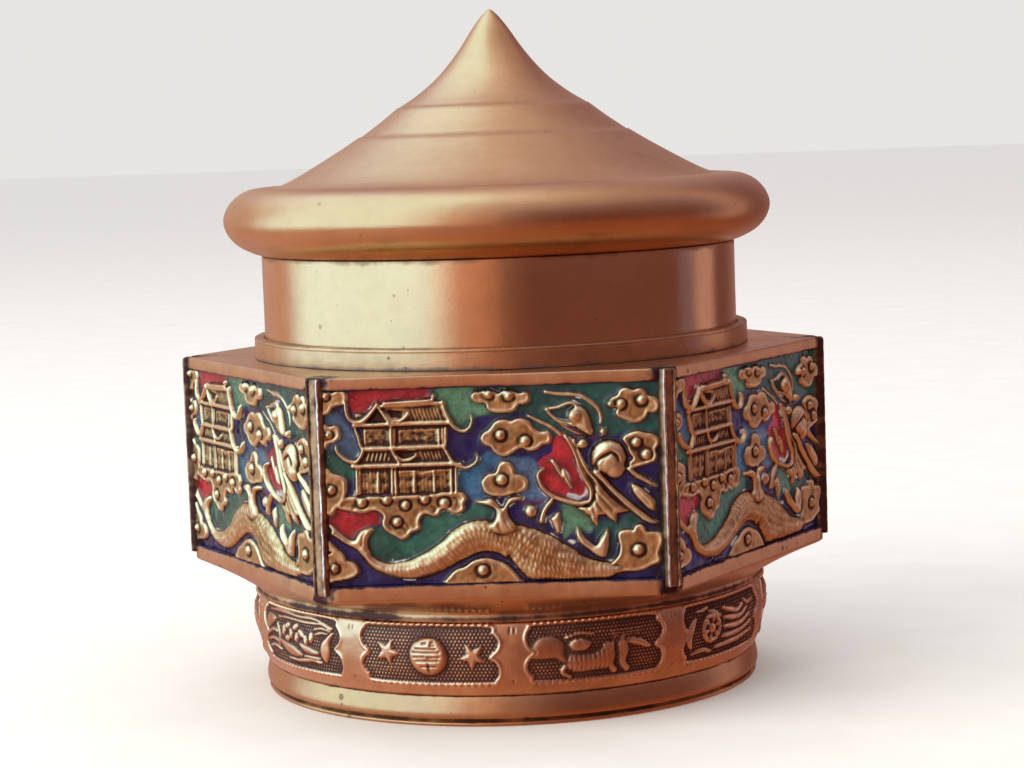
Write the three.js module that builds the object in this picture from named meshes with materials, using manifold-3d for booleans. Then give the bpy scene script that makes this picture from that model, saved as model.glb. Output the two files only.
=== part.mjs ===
// A hexagonal brass and enamel jar with a round neck, a turned lid and an embossed foot band.
// Millimetres, +Z up, origin on the surface it stands on, under its axis. One flat side looks along -Y.
import * as THREE from "three";
import { mergeVertices } from "three/addons/utils/BufferGeometryUtils.js";
import Module from "manifold-3d";

const wasm = await Module();
wasm.setup();

// Driving dimensions
const caseCornerRadius = 52; // axis to the sharp corner of the hexagon
const sheet = 0.9; // brass sheet of the foot, band, neck and lid
const seamGap = 0.3; // soldered seam between pieces that are turned against each other
const fitClearance = 0.1; // soldered seam between round pieces on one axis
const roundSides = 30; // facets of every turned piece
const sides = 6;

const footHeight = 5;
const footSetBack = 5.53; // from the flat of a panel in to the round foot
const footFlare = 0.5;
const bandHeight = 11;
const bandSwell = 2.1; // the embossed band's belly beyond the foot
const bandTurnIn = 0.7; // from its belly in to its top edge
const panStepHeight = 1.2; // plain round step between band and pan
const panStepOut = 0.4;
const panFlareHeight = 3.3; // from the round step out to the hexagon
const panRimHeight = 2.1; // upright edge below the panels
const panFloor = 1.3; // thickness of the jar's floor
const panelHeight = 28.3;
const panelPlate = 1.3; // cast plate with its fused enamel
const panelSetBack = 0.83; // enamel behind the face of the two rims
const panelLedge = 0.4; // rim of the pan inside a panel's back
const shoulderThickness = 1.9;
const shoulderLedge = 6.93; // from the flat of a panel in to the neck
const neckStand = 16.3; // neck above the shoulder
const collarHeight = 3.2;
const collarWidth = 1.65;
const cornerCut = 0.8; // taken off each corner of the hexagon behind its post
const postWidth = 2.5; // strip over each corner
const postThickness = 0.75;
const postInset = 0.65; // half the width of the post's web between two panels
const coneRise = 28.05; // brim to the point of the lid
const brimOverhang = 5.9; // of the lid beyond the neck
const brimHeight = 9.9;
const skirtDepth = 6; // lid's collar inside the neck
const skirtClearance = 0.3;

const reliefPlain = 0.7; // heights of the casting above the enamel
const reliefBoss = 1.1;
const reliefFigure = 1.15;
const reliefHead = 1.6;
const fieldWidth = 50; // the panel picture is drawn on a field this size
const fieldHeight = 29;

const cartouches = 10;
const cartoucheHalf = 11;
const cartoucheHeight = 8.8;
const cartoucheDepth = 0.4;

// Heights and sizes that follow
const apothem = caseCornerRadius * Math.cos(Math.PI / sides);
const footRadius = apothem - footSetBack;
const bandBulge = footRadius + bandSwell;
const bandEdge = bandBulge - bandTurnIn;
const neckRadius = apothem - shoulderLedge;
const brimRadius = neckRadius + brimOverhang;
const bandTop = footHeight + bandHeight;
const panStep = bandTop + panStepHeight;
const panRimFoot = panStep + panFlareHeight;
const panTop = panRimFoot + panRimHeight;
const panelFoot = panTop + seamGap;
const shoulderFoot = panelFoot + panelHeight + seamGap;
const shoulderTop = shoulderFoot + shoulderThickness;
const neckTop = shoulderTop + neckStand;
const panelFace = apothem - panelSetBack;
const panelBack = panelFace - panelPlate;
const cutRadius = caseCornerRadius - cornerCut;
const postBack = cutRadius + seamGap / 2;
// half width of a panel, so that two neighbours leave room for a post's web and its two seams
const panelHalf = panelBack * Math.tan(Math.PI / sides) - seamGap * 1.5;
const panelCorner = panelFace * Math.cos(Math.PI / sides) + panelHalf * Math.sin(Math.PI / sides);

const brass = new THREE.MeshStandardMaterial({ color: 0xb98a4e, roughness: 0.28, metalness: 1 });
const darkBrass = new THREE.MeshStandardMaterial({ color: 0x8f5f35, roughness: 0.4, metalness: 1 });
const enamelled = new THREE.MeshStandardMaterial({ color: 0x3d5a56, roughness: 0.3, metalness: 0.4 });

// A geometry as a solid that can be joined and cut, and back again.
function solidOf(geometry) {
  const bare = geometry.clone();
  bare.deleteAttribute("normal");
  bare.deleteAttribute("uv");
  const welded = mergeVertices(bare, 1e-4);
  return new wasm.Manifold(
    new wasm.Mesh({
      numProp: 3,
      vertProperties: welded.attributes.position.array,
      triVerts: new Uint32Array(welded.index.array),
    }),
  );
}

function geometryOf(solid) {
  const mesh = solid.getMesh();
  const geometry = new THREE.BufferGeometry();
  geometry.setAttribute("position", new THREE.BufferAttribute(mesh.vertProperties, 3));
  geometry.setIndex(new THREE.BufferAttribute(mesh.triVerts, 1));
  geometry.computeVertexNormals();
  return geometry;
}

function joined(solids) {
  return solids.reduce((all, solid) => all.add(solid));
}

// A ring or bowl turned about the axis. The profile is [radius, height] pairs, up the inside and down the outside.
function turned(profile) {
  const points = profile.map(([radius, height]) => new THREE.Vector2(radius, height)).reverse();
  if (points[0].x > 0) points.push(points[0].clone());
  return new THREE.LatheGeometry(points, roundSides).rotateX(Math.PI / 2);
}

function extruded(outline, depth, holes = []) {
  const shape = new THREE.Shape(outline.map(([x, y]) => new THREE.Vector2(x, y)));
  for (const hole of holes) shape.holes.push(new THREE.Path(hole.map(([x, y]) => new THREE.Vector2(x, y))));
  return new THREE.ExtrudeGeometry(shape, { depth, bevelEnabled: false });
}

function box(width, height, depth, x, y, z) {
  return new THREE.BoxGeometry(width, height, depth).translate(x, y, z);
}

function circlePoints(radius, count) {
  return Array.from({ length: count }, (_, i) => {
    const angle = (i / count) * 2 * Math.PI - Math.PI / 2;
    return [radius * Math.cos(angle), radius * Math.sin(angle)];
  });
}

// Bearings round the hexagon: both ends of each cut corner, and points between for the round parts.
const cutAngle = Math.atan((cornerCut * Math.tan(Math.PI / 3)) / cutRadius);
const bearings = [];
for (let side = 0; side < sides; side++) {
  const steps = 4;
  const span = Math.PI / 3 - 2 * cutAngle;
  for (let i = 0; i <= steps; i++) bearings.push((side * Math.PI) / 3 + cutAngle + (i / steps) * span);
}

// One ring of points at a height: a circle, or a hexagon with its corners cut, at that distance from the axis.
function ringPoints(shape, distance, height) {
  return bearings.map((bearing) => {
    const fromFlat = (bearing % (Math.PI / 3)) - Math.PI / 6;
    const radius = shape === "round" ? distance : distance / Math.cos(fromFlat);
    return [radius * Math.cos(bearing), radius * Math.sin(bearing), height];
  });
}

// A skin over stacked rings, from the middle of the first to the middle of the last.
function lofted(rings) {
  const count = bearings.length;
  const positions = [0, 0, rings[0][0][2]];
  for (const ring of rings) for (const point of ring) positions.push(...point);
  positions.push(0, 0, rings[rings.length - 1][0][2]);
  const last = 1 + rings.length * count;
  const index = [];
  for (let i = 0; i < count; i++) {
    const next = (i + 1) % count;
    index.push(0, 1 + next, 1 + i);
    for (let ring = 0; ring + 1 < rings.length; ring++) {
      const low = 1 + ring * count;
      const high = low + count;
      index.push(low + i, low + next, high + next, low + i, high + next, high + i);
    }
    const top = 1 + (rings.length - 1) * count;
    index.push(top + i, top + next, last);
  }
  const geometry = new THREE.BufferGeometry();
  geometry.setAttribute("position", new THREE.Float32BufferAttribute(positions, 3));
  geometry.setIndex(index);
  return geometry;
}

// The foot: a rolled edge on the table, a hollow above it and a plain wall.
function footRing() {
  const inner = footRadius - sheet;
  return turned([
    [inner, 0],
    [inner, footHeight],
    [footRadius, footHeight],
    [footRadius + footFlare, 0.4 * footHeight],
    [footRadius - 0.3 * sheet, 0.2 * footHeight],
    [footRadius, 0],
  ]);
}

// Outer profile of the embossed band, offset outwards by a given amount.
function bandProfile(offset) {
  return [
    [bandEdge + offset, bandTop],
    [bandBulge + offset, bandTop - 0.35 * bandHeight],
    [footRadius + footFlare + offset, footHeight],
  ];
}

function bandLayer(inside, outside) {
  return solidOf(turned([...bandProfile(inside).reverse(), ...bandProfile(outside)]));
}

// The outline of a cartouche: a bar with bracket ends, notched in the middle.
function cartoucheOutline() {
  const half = cartoucheHeight / 2;
  const end = [
    [cartoucheHalf - 2.4, -half],
    [cartoucheHalf, -0.43 * half],
    [cartoucheHalf - 1, 0],
    [cartoucheHalf, 0.43 * half],
    [cartoucheHalf - 2.4, half],
  ];
  return [...end, ...end.map(([x, y]) => [-x, -y])];
}

function starOutline(radius, x) {
  return Array.from({ length: 10 }, (_, i) => {
    const angle = Math.PI / 2 + (i * Math.PI) / 5;
    const reach = i % 2 ? radius * 0.42 : radius;
    return [x + reach * Math.cos(angle), reach * Math.sin(angle)];
  });
}

// A lobed outline such as a cloud, or a blossom with a deeper dip between its petals.
function lobedOutline(x, y, halfWidth, halfHeight, lobes, turn = 0, dip = 0.95) {
  return Array.from({ length: 2 * lobes }, (_, i) => {
    const angle = turn + (i * Math.PI) / lobes;
    const reach = i % 2 ? dip : 1.04;
    return [x + halfWidth * reach * Math.cos(angle), y + halfHeight * reach * Math.sin(angle)];
  });
}

// What stands in each kind of cartouche.
const motifs = {
  medallion: () => [starOutline(1.9, -6.4), circlePoints(2.8, 6), starOutline(1.9, 6.4)],
  beast: () => [[[-7.4, 2], [-3.8, -2.4], [5.6, -2.2], [6.6, 0.6], [-3.6, 1.2], [-4.6, 2.9]]],
  blossom: () => [lobedOutline(-1.2, 0, 5.6, 2.9, 3, 0.3)],
  fruit: () => [lobedOutline(1.2, 0, 5.6, 2.9, 3, 0.8)],
};
const motifOrder = ["medallion", "beast", "fruit", "medallion", "blossom"];

// The ground of each cartouche is sunk and its figures are left standing.
function baseBand() {
  const grounds = Array.from({ length: cartouches }, (_, i) => {
    const figures = motifs[motifOrder[i % motifOrder.length]]();
    return solidOf(
      extruded(cartoucheOutline(), 8, figures)
        .rotateX(Math.PI / 2)
        .translate(0, 6 - bandBulge, bandTop - bandHeight / 2)
        .rotateZ(((i - 0.43) * 2 * Math.PI) / cartouches),
    );
  });
  const wall = bandLayer(-sheet, 0);
  return geometryOf(wall.subtract(joined(grounds).intersect(bandLayer(-cartoucheDepth, 1))));
}

// The pan: the jar's floor, a flare from the round band out to the hexagon, and the rim under the panels.
function pan() {
  const ledge = panelBack - panelLedge;
  return lofted([
    ringPoints("round", bandEdge + panStepOut, bandTop),
    ringPoints("round", bandEdge + panStepOut, panStep),
    ringPoints("hexagon", apothem, panRimFoot),
    ringPoints("hexagon", apothem, panTop),
    ringPoints("hexagon", ledge, panTop),
    ringPoints("round", footRadius, bandTop + panFloor),
  ]);
}

function shoulder() {
  const outline = ringPoints("hexagon", apothem, 0)
    .filter((_, i) => i % 5 === 0 || i % 5 === 4)
    .map(([x, y]) => [x, y]);
  const hole = circlePoints(neckRadius + fitClearance, roundSides);
  return extruded(outline, shoulderThickness, [hole]).translate(0, 0, shoulderFoot);
}

function collar() {
  const inner = neckRadius + fitClearance;
  const outer = inner + collarWidth;
  return turned([
    [inner, shoulderTop],
    [inner, shoulderTop + collarHeight],
    [outer - 0.1 * collarWidth, shoulderTop + collarHeight],
    [outer, shoulderTop],
  ]);
}

function neck() {
  const inner = neckRadius - sheet;
  return turned([
    [inner, shoulderFoot],
    [inner, neckTop],
    [neckRadius, neckTop],
    [neckRadius, shoulderFoot],
  ]);
}

// The lid: a spun cone over a rolled brim, and a collar that drops into the neck.
function lid() {
  const brimTop = neckTop + brimHeight;
  const tip = brimTop + coneRise;
  const cone = (share, height) => [share * brimRadius, brimTop + height * (tip - brimTop)];
  const brim = (inset, height) => [brimRadius - inset, neckTop + height * brimHeight];
  const skirt = neckRadius - sheet - skirtClearance;
  const outside = [
    [0, tip],
    cone(0.022, 0.98),
    cone(0.125, 0.77),
    cone(0.22, 0.595),
    cone(0.47, 0.31),
    cone(0.7, 0.09),
    cone(0.8, 0.02),
    brim(3, 1),
    brim(0.6, 0.82),
    brim(0, 0.58),
    brim(1.3, 0.2),
    brim(5.4, 0),
  ];
  const inside = [
    [skirt, neckTop],
    [skirt, neckTop - skirtDepth],
    [skirt - sheet, neckTop - skirtDepth],
    [skirt - sheet, neckTop + sheet],
    brim(sheet + 0.1, 0.55),
    brim(3.6, 0.89),
    [0.77 * brimRadius, brimTop - sheet],
    cone(0.44, 0.265),
    [0, tip - 7],
  ];
  return turned([...outside, ...inside]);
}

// The strip over each corner, with a web between the two panels.
function post() {
  const half = postWidth / 2;
  const front = postBack + postThickness;
  const strip = [[postBack, -half], [front, -0.8 * half], [front, 0.8 * half], [postBack, half]];
  const webFoot = panelCorner - panelPlate / 2;
  const webHead = postBack + postThickness / 2;
  const web = [
    [webFoot, -postInset / 3],
    [webFoot + postInset, -postInset],
    [webHead, -postInset],
    [webHead, postInset],
    [webFoot + postInset, postInset],
    [webFoot, postInset / 3],
  ];
  const stripSolid = solidOf(extruded(strip, shoulderTop - panRimFoot).translate(0, 0, panRimFoot));
  const webSolid = solidOf(extruded(web, panelHeight - 2 * seamGap).translate(0, 0, panelFoot + seamGap));
  return geometryOf(stripSolid.add(webSolid));
}

// Panel relief. Each figure is a solid on the field: x across, y up and z out of the enamel.
const rooted = 0.4; // how far a figure's foot reaches into the plate

function plaque(outline, height = reliefPlain) {
  return solidOf(extruded(outline, rooted + height).translate(0, 0, -rooted));
}

function boss(x, y, radius, height, facets = 5) {
  const solid = new THREE.CylinderGeometry(radius * 0.55, radius, rooted + height, facets);
  return solidOf(solid.rotateX(Math.PI / 2).translate(x, y, (height - rooted) / 2));
}

// A bar with bevelled sides along a path of [x, y, half width].
function ridge(path, height) {
  const centre = path.map(([x, y]) => new THREE.Vector2(x, y));
  const positions = [];
  path.forEach(([x, y, half], i) => {
    const ahead = centre[Math.min(i + 1, path.length - 1)];
    const behind = centre[Math.max(i - 1, 0)];
    const across = ahead.clone().sub(behind).normalize().rotateAround(new THREE.Vector2(), Math.PI / 2);
    for (const [share, level] of [[1, -rooted], [-1, -rooted], [-0.4, height], [0.4, height]]) {
      positions.push(x + across.x * half * share, y + across.y * half * share, level);
    }
  });
  const index = [0, 1, 2, 0, 2, 3];
  for (let i = 0; i + 1 < path.length; i++) {
    for (let corner = 0; corner < 4; corner++) {
      const near = 4 * i + corner;
      const far = 4 * i + ((corner + 1) % 4);
      index.push(near, near + 4, far + 4, near, far + 4, far);
    }
  }
  const end = 4 * (path.length - 1);
  index.push(end, end + 2, end + 1, end, end + 3, end + 2);
  const geometry = new THREE.BufferGeometry();
  geometry.setAttribute("position", new THREE.Float32BufferAttribute(positions, 3));
  geometry.setIndex(index);
  return solidOf(geometry);
}

// Clouds: the middle, the half width and half height, the lobes, and a curl on each as offset and radius.
const clouds = [
  { at: [1.5, 26.9], size: [4.5, 1.9], lobes: 3 },
  { at: [3.3, 20.9], size: [5.6, 2.7], lobes: 3 },
  { at: [1.4, 15.3], size: [3.3, 2.6], lobes: 5, dip: 0.7 },
  { at: [20.8, 25.6], size: [3.6, 2.4], lobes: 3 },
  { at: [21.7, 19.3], size: [2.7, 2.7], lobes: 3 },
  { at: [21, 4.9], size: [3.6, 3.6], lobes: 5, dip: 0.74, curl: [-0.2, -0.2, 1.2] },
  { at: [-1.7, 0.7], size: [5.4, 3.1], lobes: 3 },
  { at: [-23, 27.4], size: [2.4, 2.2], lobes: 3 },
  { at: [-23.1, 14.6], size: [2.2, 3.7], lobes: 3 },
  { at: [-22.7, 3.6], size: [2.8, 2.9], lobes: 3 },
];

function cloud({ at: [x, y], size: [halfWidth, halfHeight], lobes, dip, curl }) {
  const body = plaque(lobedOutline(x, y, halfWidth, halfHeight, lobes, 0.3, dip));
  if (!curl) return body;
  const [dx, dy, radius] = curl;
  return body.add(boss(x + dx, y + dy, radius, reliefBoss));
}

// A roof from its eaves up to its ridge, with an upturned tail at each end.
function roof(left, right, eave, top, ridgeLeft, ridgeRight) {
  return plaque(
    [
      [left, eave],
      [right, eave - 0.1],
      [right + 2.3, eave - 0.6],
      [right + 3.5, eave + 1.1],
      [right + 1.9, eave + 0.5],
      [ridgeRight, top],
      [ridgeLeft, top + 0.1],
      [left - 1.5, eave + 1],
      [left - 2.4, eave + 2.6],
      [left - 3, eave + 1],
    ],
    reliefFigure,
  );
}

function storey(left, right, foot, top) {
  return plaque([[left, foot], [right, foot], [right, top], [left, top]]);
}

function pagoda() {
  const cloudFoot = [
    [-22.6, 12], [-20.2, 10.9], [-17.2, 11.1], [-15.8, 7.9], [-13.3, 6.8], [-10.8, 8.6], [-10.3, 10.6],
    [-4.4, 10.6], [-4, 13.4], [-21.8, 13.5],
  ];
  return joined([
    plaque(cloudFoot),
    storey(-20, -5.4, 13.2, 18.1),
    storey(-18.8, -6.8, 20.2, 23.8),
    roof(-20.3, -5.8, 17.7, 20.5, -18.4, -6.5),
    roof(-18.6, -6.3, 23.4, 27, -16.9, -7.6),
  ]);
}

function dragon() {
  const body = [
    [-20.8, 6.7, 0.8], [-16.5, 2.9, 1.4], [-11.5, 3.1, 1.5], [-4, 7.2, 2.2], [3, 6.9, 2.5],
    [10.5, 3.4, 2.9], [17.6, 1.2, 0.7],
  ];
  const tail = [[-19.8, 6], [-19.1, 9.1], [-20.5, 7.5], [-24.2, 9.8], [-21.7, 6.6]];
  const jaw = [
    [6.1, 16.9], [6.2, 14], [13.8, 11.5], [14.1, 14.7], [10.8, 21.8], [12.6, 13.2], [7.1, 14.9],
  ];
  const fin = [[-0.4, 8], [0.4, 10.6], [-2.7, 12.1], [1, 11.8], [4.6, 12.3], [2, 10.6], [2.8, 8]];
  const mane = [[14.1, 12.6], [15.2, 8.4], [17.6, 9.6], [23.4, 8.3], [19.6, 13.2], [23.7, 14.2], [16.4, 17.4]];
  const claw = [[11.9, 7.9], [12.3, 2.6], [15.7, 2.1], [16.5, 7.7], [14.5, 5.4]];
  const snout = [[7.8, 25.5], [11.5, 26.2], [14.7, 21.6], [10.6, 23.5]];
  return joined([
    ridge(body, reliefFigure),
    plaque(tail),
    plaque(jaw),
    plaque(fin),
    plaque(mane),
    plaque(claw),
    plaque(snout),
    boss(16.9, 18.3, 2.9, reliefHead, 6),
  ]);
}

function panel() {
  const margin = 0.4;
  const picture = joined([...clouds.map(cloud), pagoda(), dragon()])
    .scale([(2 * panelHalf) / fieldWidth, panelHeight / fieldHeight, 1]);
  const frame = solidOf(box(2 * (panelHalf - margin), panelHeight - 2 * margin, 10, 0, panelHeight / 2, 0));
  const plate = solidOf(box(2 * panelHalf, panelHeight, panelPlate, 0, panelHeight / 2, -panelPlate / 2));
  return geometryOf(plate.add(picture.intersect(frame)));
}

const jar = new THREE.Group();

function place(name, geometry, material, parent = jar) {
  const mesh = new THREE.Mesh(geometry, material);
  mesh.name = name;
  parent.add(mesh);
  return mesh;
}

place("foot_ring", footRing(), brass);
place("embossed_band", baseBand(), darkBrass);
place("pan", pan(), brass);
place("shoulder_plate", shoulder(), brass);
place("collar", collar(), brass);
place("neck", neck(), brass);
place("lid", lid(), brass);

const panelGeometry = panel();
const postGeometry = post();
for (let side = 0; side < sides; side++) {
  const face = new THREE.Group();
  face.rotation.z = (side * 2 * Math.PI) / sides;
  jar.add(face);
  const plate = place(`panel_${side + 1}`, panelGeometry, enamelled, face);
  plate.rotation.x = Math.PI / 2;
  plate.position.set(0, -panelFace, panelFoot);
  const corner = place(`corner_post_${side + 1}`, postGeometry, brass, face);
  corner.rotation.z = -Math.PI / 2 + Math.PI / sides;
}

export default jar;
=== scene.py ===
import math

import bpy
import numpy as np
from mathutils import Matrix, Vector


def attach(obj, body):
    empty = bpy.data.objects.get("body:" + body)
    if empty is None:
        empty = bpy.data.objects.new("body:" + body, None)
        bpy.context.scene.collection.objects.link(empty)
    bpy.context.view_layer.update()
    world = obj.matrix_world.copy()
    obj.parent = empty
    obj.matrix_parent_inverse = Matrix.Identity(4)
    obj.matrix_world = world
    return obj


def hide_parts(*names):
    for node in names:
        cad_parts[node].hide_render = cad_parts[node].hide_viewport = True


# Spice jar: six enamelled panels between two brass rims, round neck, spun lid, embossed foot band.
# Sizes below are millimetres, angles are degrees round the axis with 0 at the front (-Y), growing towards +X.
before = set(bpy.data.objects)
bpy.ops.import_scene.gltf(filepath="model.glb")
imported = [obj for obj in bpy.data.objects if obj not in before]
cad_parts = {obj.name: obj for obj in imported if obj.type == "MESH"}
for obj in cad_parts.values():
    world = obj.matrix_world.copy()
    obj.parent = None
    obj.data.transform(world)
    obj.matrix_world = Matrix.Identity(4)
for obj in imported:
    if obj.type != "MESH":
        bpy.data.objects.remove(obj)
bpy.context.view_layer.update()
mm = 0.001
sides = 6

# Numbers, noise and distances


def smooth(x):
    x = np.clip(x, 0, 1)
    return x * x * (3 - 2 * x)


def softNoise(x, y, size, seed):
    # random values on a lattice, smoothly joined, from -1 to 1
    table = np.random.default_rng(seed).uniform(-1, 1, (89, 89))
    gx, gy = np.asarray(x) / size + 500, np.asarray(y) / size + 500
    ix, iy = np.floor(gx).astype(int), np.floor(gy).astype(int)
    fx, fy = smooth(gx - ix), smooth(gy - iy)
    low = table[iy % 89, ix % 89] * (1 - fx) + table[iy % 89, (ix + 1) % 89] * fx
    high = table[(iy + 1) % 89, ix % 89] * (1 - fx) + table[(iy + 1) % 89, (ix + 1) % 89] * fx
    return low * (1 - fy) + high * fy


def curveThrough(points, steps=5, closed=False):
    # a smooth curve through the given points, which may hold a third value such as a half width
    pts = np.array(points, float)
    count = len(pts)
    out = []
    for i in range(count if closed else count - 1):
        p1, p2 = pts[i], pts[(i + 1) % count]
        p0 = pts[i - 1] if closed or i else 2 * p1 - p2
        p3 = pts[(i + 2) % count] if closed or i + 2 < count else 2 * p2 - p1
        for t in np.arange(steps) / steps:
            out.append(
                0.5 * (
                    2 * p1
                    + (p2 - p0) * t
                    + (2 * p0 - 5 * p1 + 4 * p2 - p3) * t**2
                    + (3 * p1 - p0 - 3 * p2 + p3) * t**3
                )
            )
    if not closed:
        out.append(pts[-1])
    return np.array(out)


def softened(points, steps=4):
    # a polygon of (r, z, rounding) with its corners rounded
    out = []
    for i, (r, z, *rest) in enumerate(points):
        here = np.array([r, z], float)
        rounding = rest[0] if rest else 0
        if not rounding:
            out.append((r, z))
            continue
        before = np.array(points[i - 1][:2], float) - here
        after = np.array(points[(i + 1) % len(points)][:2], float) - here
        lengthA, lengthB = np.linalg.norm(before), np.linalg.norm(after)
        cut = min(rounding, 0.45 * lengthA, 0.45 * lengthB)
        a, b = here + before / lengthA * cut, here + after / lengthB * cut
        for t in np.linspace(0, 1, steps + 1):
            out.append(tuple((1 - t) ** 2 * a + 2 * t * (1 - t) * here + t**2 * b))
    return out


def edgeDistance(u, v, loop):
    # distance to a closed outline, positive inside
    best = np.full(u.shape, 1e9)
    inside = np.zeros(u.shape, bool)
    for (ax, ay), (bx, by) in zip(loop, np.roll(loop, -1, axis=0)):
        ex, ey = bx - ax, by - ay
        t = np.clip(((u - ax) * ex + (v - ay) * ey) / (ex * ex + ey * ey + 1e-12), 0, 1)
        best = np.minimum(best, (u - ax - t * ex) ** 2 + (v - ay - t * ey) ** 2)
        if ay != by:
            inside ^= ((ay > v) != (by > v)) & (u < ex * (v - ay) / ey + ax)
    return np.where(inside, 1, -1) * np.sqrt(best)


def alongPath(u, v, path):
    # nearest distance to an open path, place along it, side of it and half width there
    best = np.full(u.shape, 1e9)
    along, side, half = (np.zeros(u.shape) for _ in range(3))
    start = 0
    for (ax, ay, aw), (bx, by, bw) in zip(path, path[1:]):
        ex, ey = bx - ax, by - ay
        length = math.hypot(ex, ey) + 1e-9
        t = np.clip(((u - ax) * ex + (v - ay) * ey) / length**2, 0, 1)
        dx, dy = u - ax - t * ex, v - ay - t * ey
        d = np.hypot(dx, dy)
        nearer = d < best
        best = np.where(nearer, d, best)
        along = np.where(nearer, start + t * length, along)
        side = np.where(nearer, (ex * dy - ey * dx) / length, side)
        half = np.where(nearer, aw + t * (bw - aw), half)
        start += length
    return best, along, side, half


def blurred(values, cells, wrap=False):
    # box blur, three passes
    out = values.copy()
    for _ in range(3):
        for axis in (0, 1):
            around = wrap and axis == 1
            pad = [(cells, cells) if a == axis else (0, 0) for a in (0, 1)]
            wide = np.pad(out, pad, mode="wrap" if around else "edge")
            total = np.cumsum(wide, axis=axis)
            total = np.insert(total, 0, 0, axis=axis)
            size = out.shape[axis]
            ahead = np.take(total, np.arange(size) + 2 * cells + 1, axis=axis)
            out = (ahead - np.take(total, np.arange(size), axis=axis)) / (2 * cells + 1)
    return out


# Relief fields: u across, v up, height out of the ground


def newField(u, v):
    return {"u": u, "v": v, "height": np.zeros(u.shape), "gap": np.full(u.shape, 3.0)}


def windowRound(field, points, reach=1.6):
    points = np.array(points, float)[:, :2]
    low, high = points.min(axis=0) - reach, points.max(axis=0) + reach
    cols = np.nonzero((field["u"][0] > low[0]) & (field["u"][0] < high[0]))[0]
    rows = np.nonzero((field["v"][:, 0] > low[1]) & (field["v"][:, 0] < high[1]))[0]
    if not len(cols) or not len(rows):
        return None
    return slice(rows[0], rows[-1] + 1), slice(cols[0], cols[-1] + 1)


def lift(field, cut, distance, top, roll, sink=0.0, rim=0.5):
    # raises what lies inside, with a rounded edge and a face that may be sunk inside its rim
    rise = top * np.sqrt(1 - (1 - np.clip(distance / roll, 0, 1)) ** 2)
    rise -= sink * smooth((distance - rim) / 0.45)
    field["height"][cut] = np.where(
        distance > 0, np.maximum(field["height"][cut], rise), field["height"][cut]
    )
    field["gap"][cut] = np.minimum(field["gap"][cut], -distance)


def plate(field, loop, top=0.7, roll=0.4, sink=0.0, rim=0.5, steps=5, grow=0.06):
    loop = curveThrough(loop, steps, closed=True) if steps else np.array(loop, float)
    cut = windowRound(field, loop)
    if cut:
        lift(field, cut, edgeDistance(field["u"][cut], field["v"][cut], loop) + grow, top, roll, sink, rim)


def bar(field, path, top=0.8, steps=5, flat=0.0):
    path = curveThrough(path, steps) if steps else np.array(path, float)
    cut = windowRound(field, path)
    if cut:
        near, _, _, half = alongPath(field["u"][cut], field["v"][cut], path)
        half = half + 0.05
        share = np.clip(near / half, 0, 1)
        rise = top * (1 - (np.clip(share - flat, 0, 1) / (1 - flat)) ** 2) ** 0.65
        inside = near < half
        field["height"][cut] = np.where(inside, np.maximum(field["height"][cut], rise), field["height"][cut])
        field["gap"][cut] = np.minimum(field["gap"][cut], near - half)


def ball(field, x, y, radius, top, moat=0.1):
    cut = windowRound(field, [(x, y)], reach=radius + 1.2)
    if cut:
        near = np.hypot(field["u"][cut] - x, field["v"][cut] - y)
        height = field["height"][cut]
        height = height - moat * np.exp(-(((near - radius - 0.1) / 0.14) ** 2)) * (field["gap"][cut] < 0.1)
        dome = top - radius * 0.75 + 0.75 * np.sqrt(np.clip(radius**2 - near**2, 0, None))
        field["height"][cut] = np.where(near < radius, np.maximum(height, dome), height)
        field["gap"][cut] = np.minimum(field["gap"][cut], near - radius)


def groove(field, path, width=0.14, depth=0.2, steps=5):
    path = [(*p[:2], 1) for p in path]
    path = curveThrough(path, steps) if steps else np.array(path, float)
    cut = windowRound(field, path)
    if cut:
        near = alongPath(field["u"][cut], field["v"][cut], path)[0]
        field["height"][cut] -= depth * np.exp(-((near / width) ** 2)) * (field["gap"][cut] < 0)


def ribs(field, loop, pitch, lean, depth, sideways=False):
    # parallel ribs inside an outline; lean is the sideways shift for each millimetre of height
    loop = np.array(loop, float)
    cut = windowRound(field, loop, reach=0.2)
    if cut:
        u, v = field["u"][cut], field["v"][cut]
        inside = smooth(edgeDistance(u, v, loop) / 0.15)
        across = (v - lean * u) if sideways else (u - lean * v)
        field["height"][cut] += depth * inside * np.cos(2 * np.pi * across / pitch)


def sinkInto(field, loop, depth):
    # a flat-bottomed recess
    cut = windowRound(field, loop, reach=0.2)
    if cut:
        inside = smooth(edgeDistance(field["u"][cut], field["v"][cut], np.array(loop, float)) / 0.16)
        field["height"][cut] -= depth * inside


def speckle(field, loop, height, size):
    # irregular grains inside an outline
    cut = windowRound(field, loop, reach=0.2)
    if cut:
        u, v = field["u"][cut], field["v"][cut]
        inside = smooth(edgeDistance(u, v, np.array(loop, float)) / 0.2)
        field["height"][cut] += height * inside * softNoise(u, v, size, 61)


# Meshes


def pieceOf(name, points, faces, material, nodes=(), sharp=38):
    mesh = bpy.data.meshes.new(name)
    mesh.from_pydata((np.asarray(points, float) * mm).tolist(), [], faces)
    mesh.materials.append(material)
    mesh.polygons.foreach_set("use_smooth", [True] * len(mesh.polygons))
    if sharp:
        mesh.set_sharp_from_angle(angle=math.radians(sharp))
    piece = bpy.data.objects.new(name, mesh)
    bpy.context.scene.collection.objects.link(piece)
    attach(piece, "root")
    if nodes:
        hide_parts(*nodes)
    return piece


def storeOn(piece, name, values):
    kind = "FLOAT_COLOR" if values.ndim == 2 else "FLOAT"
    layer = piece.data.attributes.new(name, kind, "POINT")
    layer.data.foreach_set(
        "color" if values.ndim == 2 else "value", np.ascontiguousarray(values, np.float32).ravel()
    )


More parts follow.
